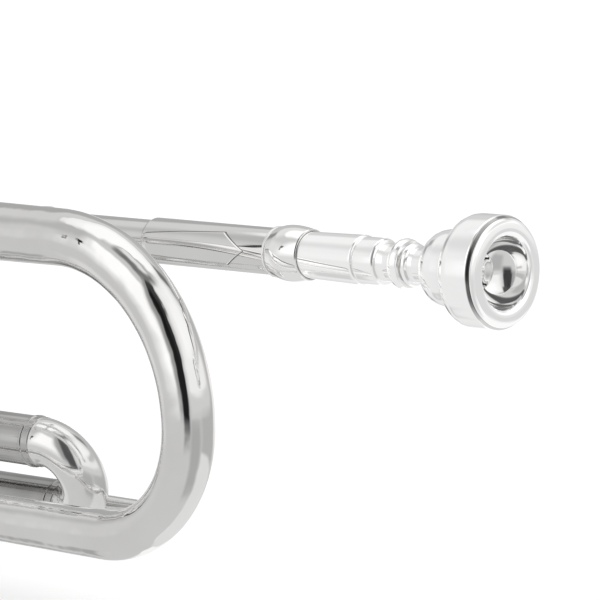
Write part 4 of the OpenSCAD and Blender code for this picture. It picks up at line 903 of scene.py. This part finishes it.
hx, hz = 164.0, bell_r(164) + 9
s = Shape()
st = []
for q in range(61):
    t = math.radians(235 * q / 60)
    d = Vector((0, math.cos(t), math.sin(t)))
    st.append((Vector((hx, 5, hz)) + d * 9, Vector((0, -math.sin(t), math.cos(t))), d, (1.5, 2.2) if q < 60 else (1.5, 2.2)))
s.sweep(st, 40)
s.lathe([(0, -1.9)] + [(1.95 * math.cos(math.radians(a)), 1.95 * math.sin(math.radians(a))) for a in range(-75, 76, 15)] + [(0, 1.95)], (hx, 14, hz), Z, closed=False, seg=48)
V, F = [], []
nx, na = 30, 24
for i in range(nx + 1):
    for k in range(na + 1):
        u, v = 2 * i / nx - 1, 2 * k / na - 1
        e = max(0.0, min(1.0, (1 - (abs(u) ** 3.2 + abs(v) ** 3.2)) / 0.18))
        xx = hx + 6.2 * u
        ang = v * 0.42
        r = bell_r(xx) - 0.05 + 0.85 * math.sin(e * PI / 2)
        V.append((xx, r * math.sin(ang), r * math.cos(ang)))
for i in range(nx):
    for k in range(na):
        a = i * (na + 1) + k
        F.append((a, a + 1, a + na + 2, a + na + 1))
s.add(V, F)
s.out("finger_hook_silver", "horn", SILVER, "finger_hook", angle=45)

# ------------------------------------------------------------------ floor, light, camera
FLOOR_Z = CAD_BOX[0][2] - 0.0002
me = bpy.data.meshes.new("floor")
me.from_pydata([(-12, -12, FLOOR_Z), (12, -12, FLOOR_Z), (12, 12, FLOOR_Z), (-12, 12, FLOOR_Z)], [], [(0, 1, 2, 3)])
floor = bpy.data.objects.new("floor", me)
scene.collection.objects.link(floor)
m, n = material("floor_paper")
lp = n.put("ShaderNodeLightPath", out=None)
cam = lp.outputs["Is Camera Ray"]
pos = n.put("ShaderNodeNewGeometry", out=None).outputs["Position"]
grain = n.noise(pos, 260.0, 3.0, 0.6)
alb = n.m("MULTIPLY", n.mixf(cam, 0.62, 0.80), n.rng(grain, 0.2, 0.8, 0.985, 1.0))
colr = n.put("ShaderNodeCombineColor", ins={0: alb, 1: alb, 2: alb})
dif = n.put("ShaderNodeBsdfDiffuse", ins={"Color": colr, "Roughness": 0.4})
emi = n.put("ShaderNodeEmission", ins={"Color": (1, 1, 1, 1), "Strength": n.m("MULTIPLY", cam, 0.55)})
add = n.put("ShaderNodeAddShader", ins={0: dif, 1: emi})
mixs = n.put("ShaderNodeMixShader", out=None)
n.wire(mixs.inputs[0], lp.outputs["Is Glossy Ray"])
n.wire(mixs.inputs[1], add)
n.wire(mixs.inputs[2], n.put("ShaderNodeBsdfTransparent"))
add = mixs.outputs[0]
n.put("ShaderNodeOutputMaterial", out=None, ins={"Surface": add})
me.materials.append(m)

world = bpy.data.worlds.new("studio")
scene.world = world
world.use_nodes = True
n = Nodes(world.node_tree)
d = n.put("ShaderNodeTexCoord", out=None).outputs["Generated"]
xyz = n.put("ShaderNodeSeparateXYZ", out=None, ins={0: d})
az = n.m("MULTIPLY", n.m("ARCTAN2", xyz.outputs[1], xyz.outputs[0]), 180 / PI)
el = n.m("MULTIPLY", n.m("ARCSINE", xyz.outputs[2]), 180 / PI)


def panel(ca, ha, ce, he, sa=8.0, se=8.0):
    """Soft-edged panel centred on azimuth ca, elevation ce, half sizes ha, he, in degrees."""
    da = n.m("ABSOLUTE", n.m("WRAP", n.m("SUBTRACT", az, ca), 180.0, -180.0))
    de = n.m("ABSOLUTE", n.m("SUBTRACT", el, ce))
    return n.m("MULTIPLY", n.rng(da, ha - sa, ha + sa, 1.0, 0.0), n.rng(de, he - se, he + se, 1.0, 0.0))


def lay(value, *a):
    """Lays one panel of the studio over what is there, at a display brightness."""
    global L
    L = n.mixf(panel(*a), L, lin(value) * 1.07)


L = n.mixf(n.rng(el, -3, 3), lin(0.77) * 1.07, lin(0.71) * 1.07)       # pale floor below, grey surroundings above
lay(0.85, 68, 54, -56, 37, 10, 3)          # floor to the right
lay(0.69, 52, 36, -9, 10, 10, 2)           # its far edge
lay(0.66, -12, 22, -28, 24, 10, 8)         # floor in the shade of the camera stand
lay(0.84, -172, 14, -22, 12, 8, 5)
lay(0.36, -50, 13, -5, 9, 6, 7)
lay(0.96, 127, 8, -33, 28, 3, 4)           # white sheet behind
lay(0.92, 118, 28, -3, 9, 8, 4)
lay(0.36, 155, 8, -26, 8, 5, 5)
lay(0.79, -146, 18, 14, 18, 10, 8)
lay(0.66, 140, 22, 24, 20, 8, 8)
lay(0.40, 174, 9, 28, 14, 6, 6)            # dark card behind left
lay(0.81, 145, 52, 45, 7, 14, 4)
lay(0.94, 140, 70, 61, 9, 14, 2)           # wall above the card
lay(0.99, 150, 95, 76, 16, 14, 6)          # ceiling
lay(0.87, -45, 52, 84, 6, 14, 4)
lay(0.44, -46, 58, 68, 9, 16, 5)           # gap under the ceiling
lay(0.92, 20, 50, 36, 31, 13, 8)           # right soft box
lay(0.975, 22, 30, 43, 13, 14, 8)
lay(0.80, 20, 50, 4, 5, 12, 4)
lay(0.74, 60, 32, 25, 4.5, 10, 3)          # gap between its two rows
lay(0.46, 84, 9, 43, 9, 5, 5)              # stand
lay(0.88, -104, 27, 8, 12, 9, 6)           # left soft box
lay(1.0, -102.5, 20.5, 28, 22, 10, 7)
lay(0.78, -104, 26, 56, 6, 10, 5)
lay(0.58, -60, 18, 32, 34, 7, 10)          # dark gap where the camera stands
lay(0.17, -52, 14, 34, 30, 3, 7)
lay(0.12, -51, 12, 10, 16, 4, 5)
lay(0.24, -47, 17, 57, 9, 5, 5)
lay(0.10, -56, 6, 38, 14, 4, 8)
lay(0.12, -126.5, 2.7, 23.6, 3.4, 0.8, 0.8)   # lamp head in front of the left soft box
lay(0.20, -127.6, 1.1, 17.5, 5.0, 0.7, 0.8)
lay(0.64, 178, 16, -46, 2.5, 6, 2)
lp = n.put("ShaderNodeLightPath", out=None)
L = n.mixf(lp.outputs["Is Camera Ray"], L, 1.0)
bg = n.put("ShaderNodeBackground", ins={"Color": (1, 1, 1, 1), "Strength": L})
n.put("ShaderNodeOutputWorld", out=None, ins={"Surface": bg})

cam_data = bpy.data.cameras.new("camera")
camera = bpy.data.objects.new("camera", cam_data)
scene.collection.objects.link(camera)
cam_data.sensor_width = 36.0
cam_data.lens = 250.34
cam_data.clip_start, cam_data.clip_end = 0.01, 60.0
fwd = Vector((-0.67079, 0.7327, -0.11489)).normalized()
right = Vector((0.73767, 0.67516, -0.00118))
right = (right - fwd * right.dot(fwd)).normalized()
upv = right.cross(fwd)
from mathutils import Matrix
rot = Matrix((right, upv, -fwd)).transposed()
camera.matrix_world = Matrix.Translation((1.09302, -0.72501, 0.10409)) @ rot.to_4x4()
scene.camera = camera

scene.view_settings.view_transform = "Standard"
scene.view_settings.look = "None"
scene.view_settings.exposure = 0.0
scene.view_settings.gamma = 1.0
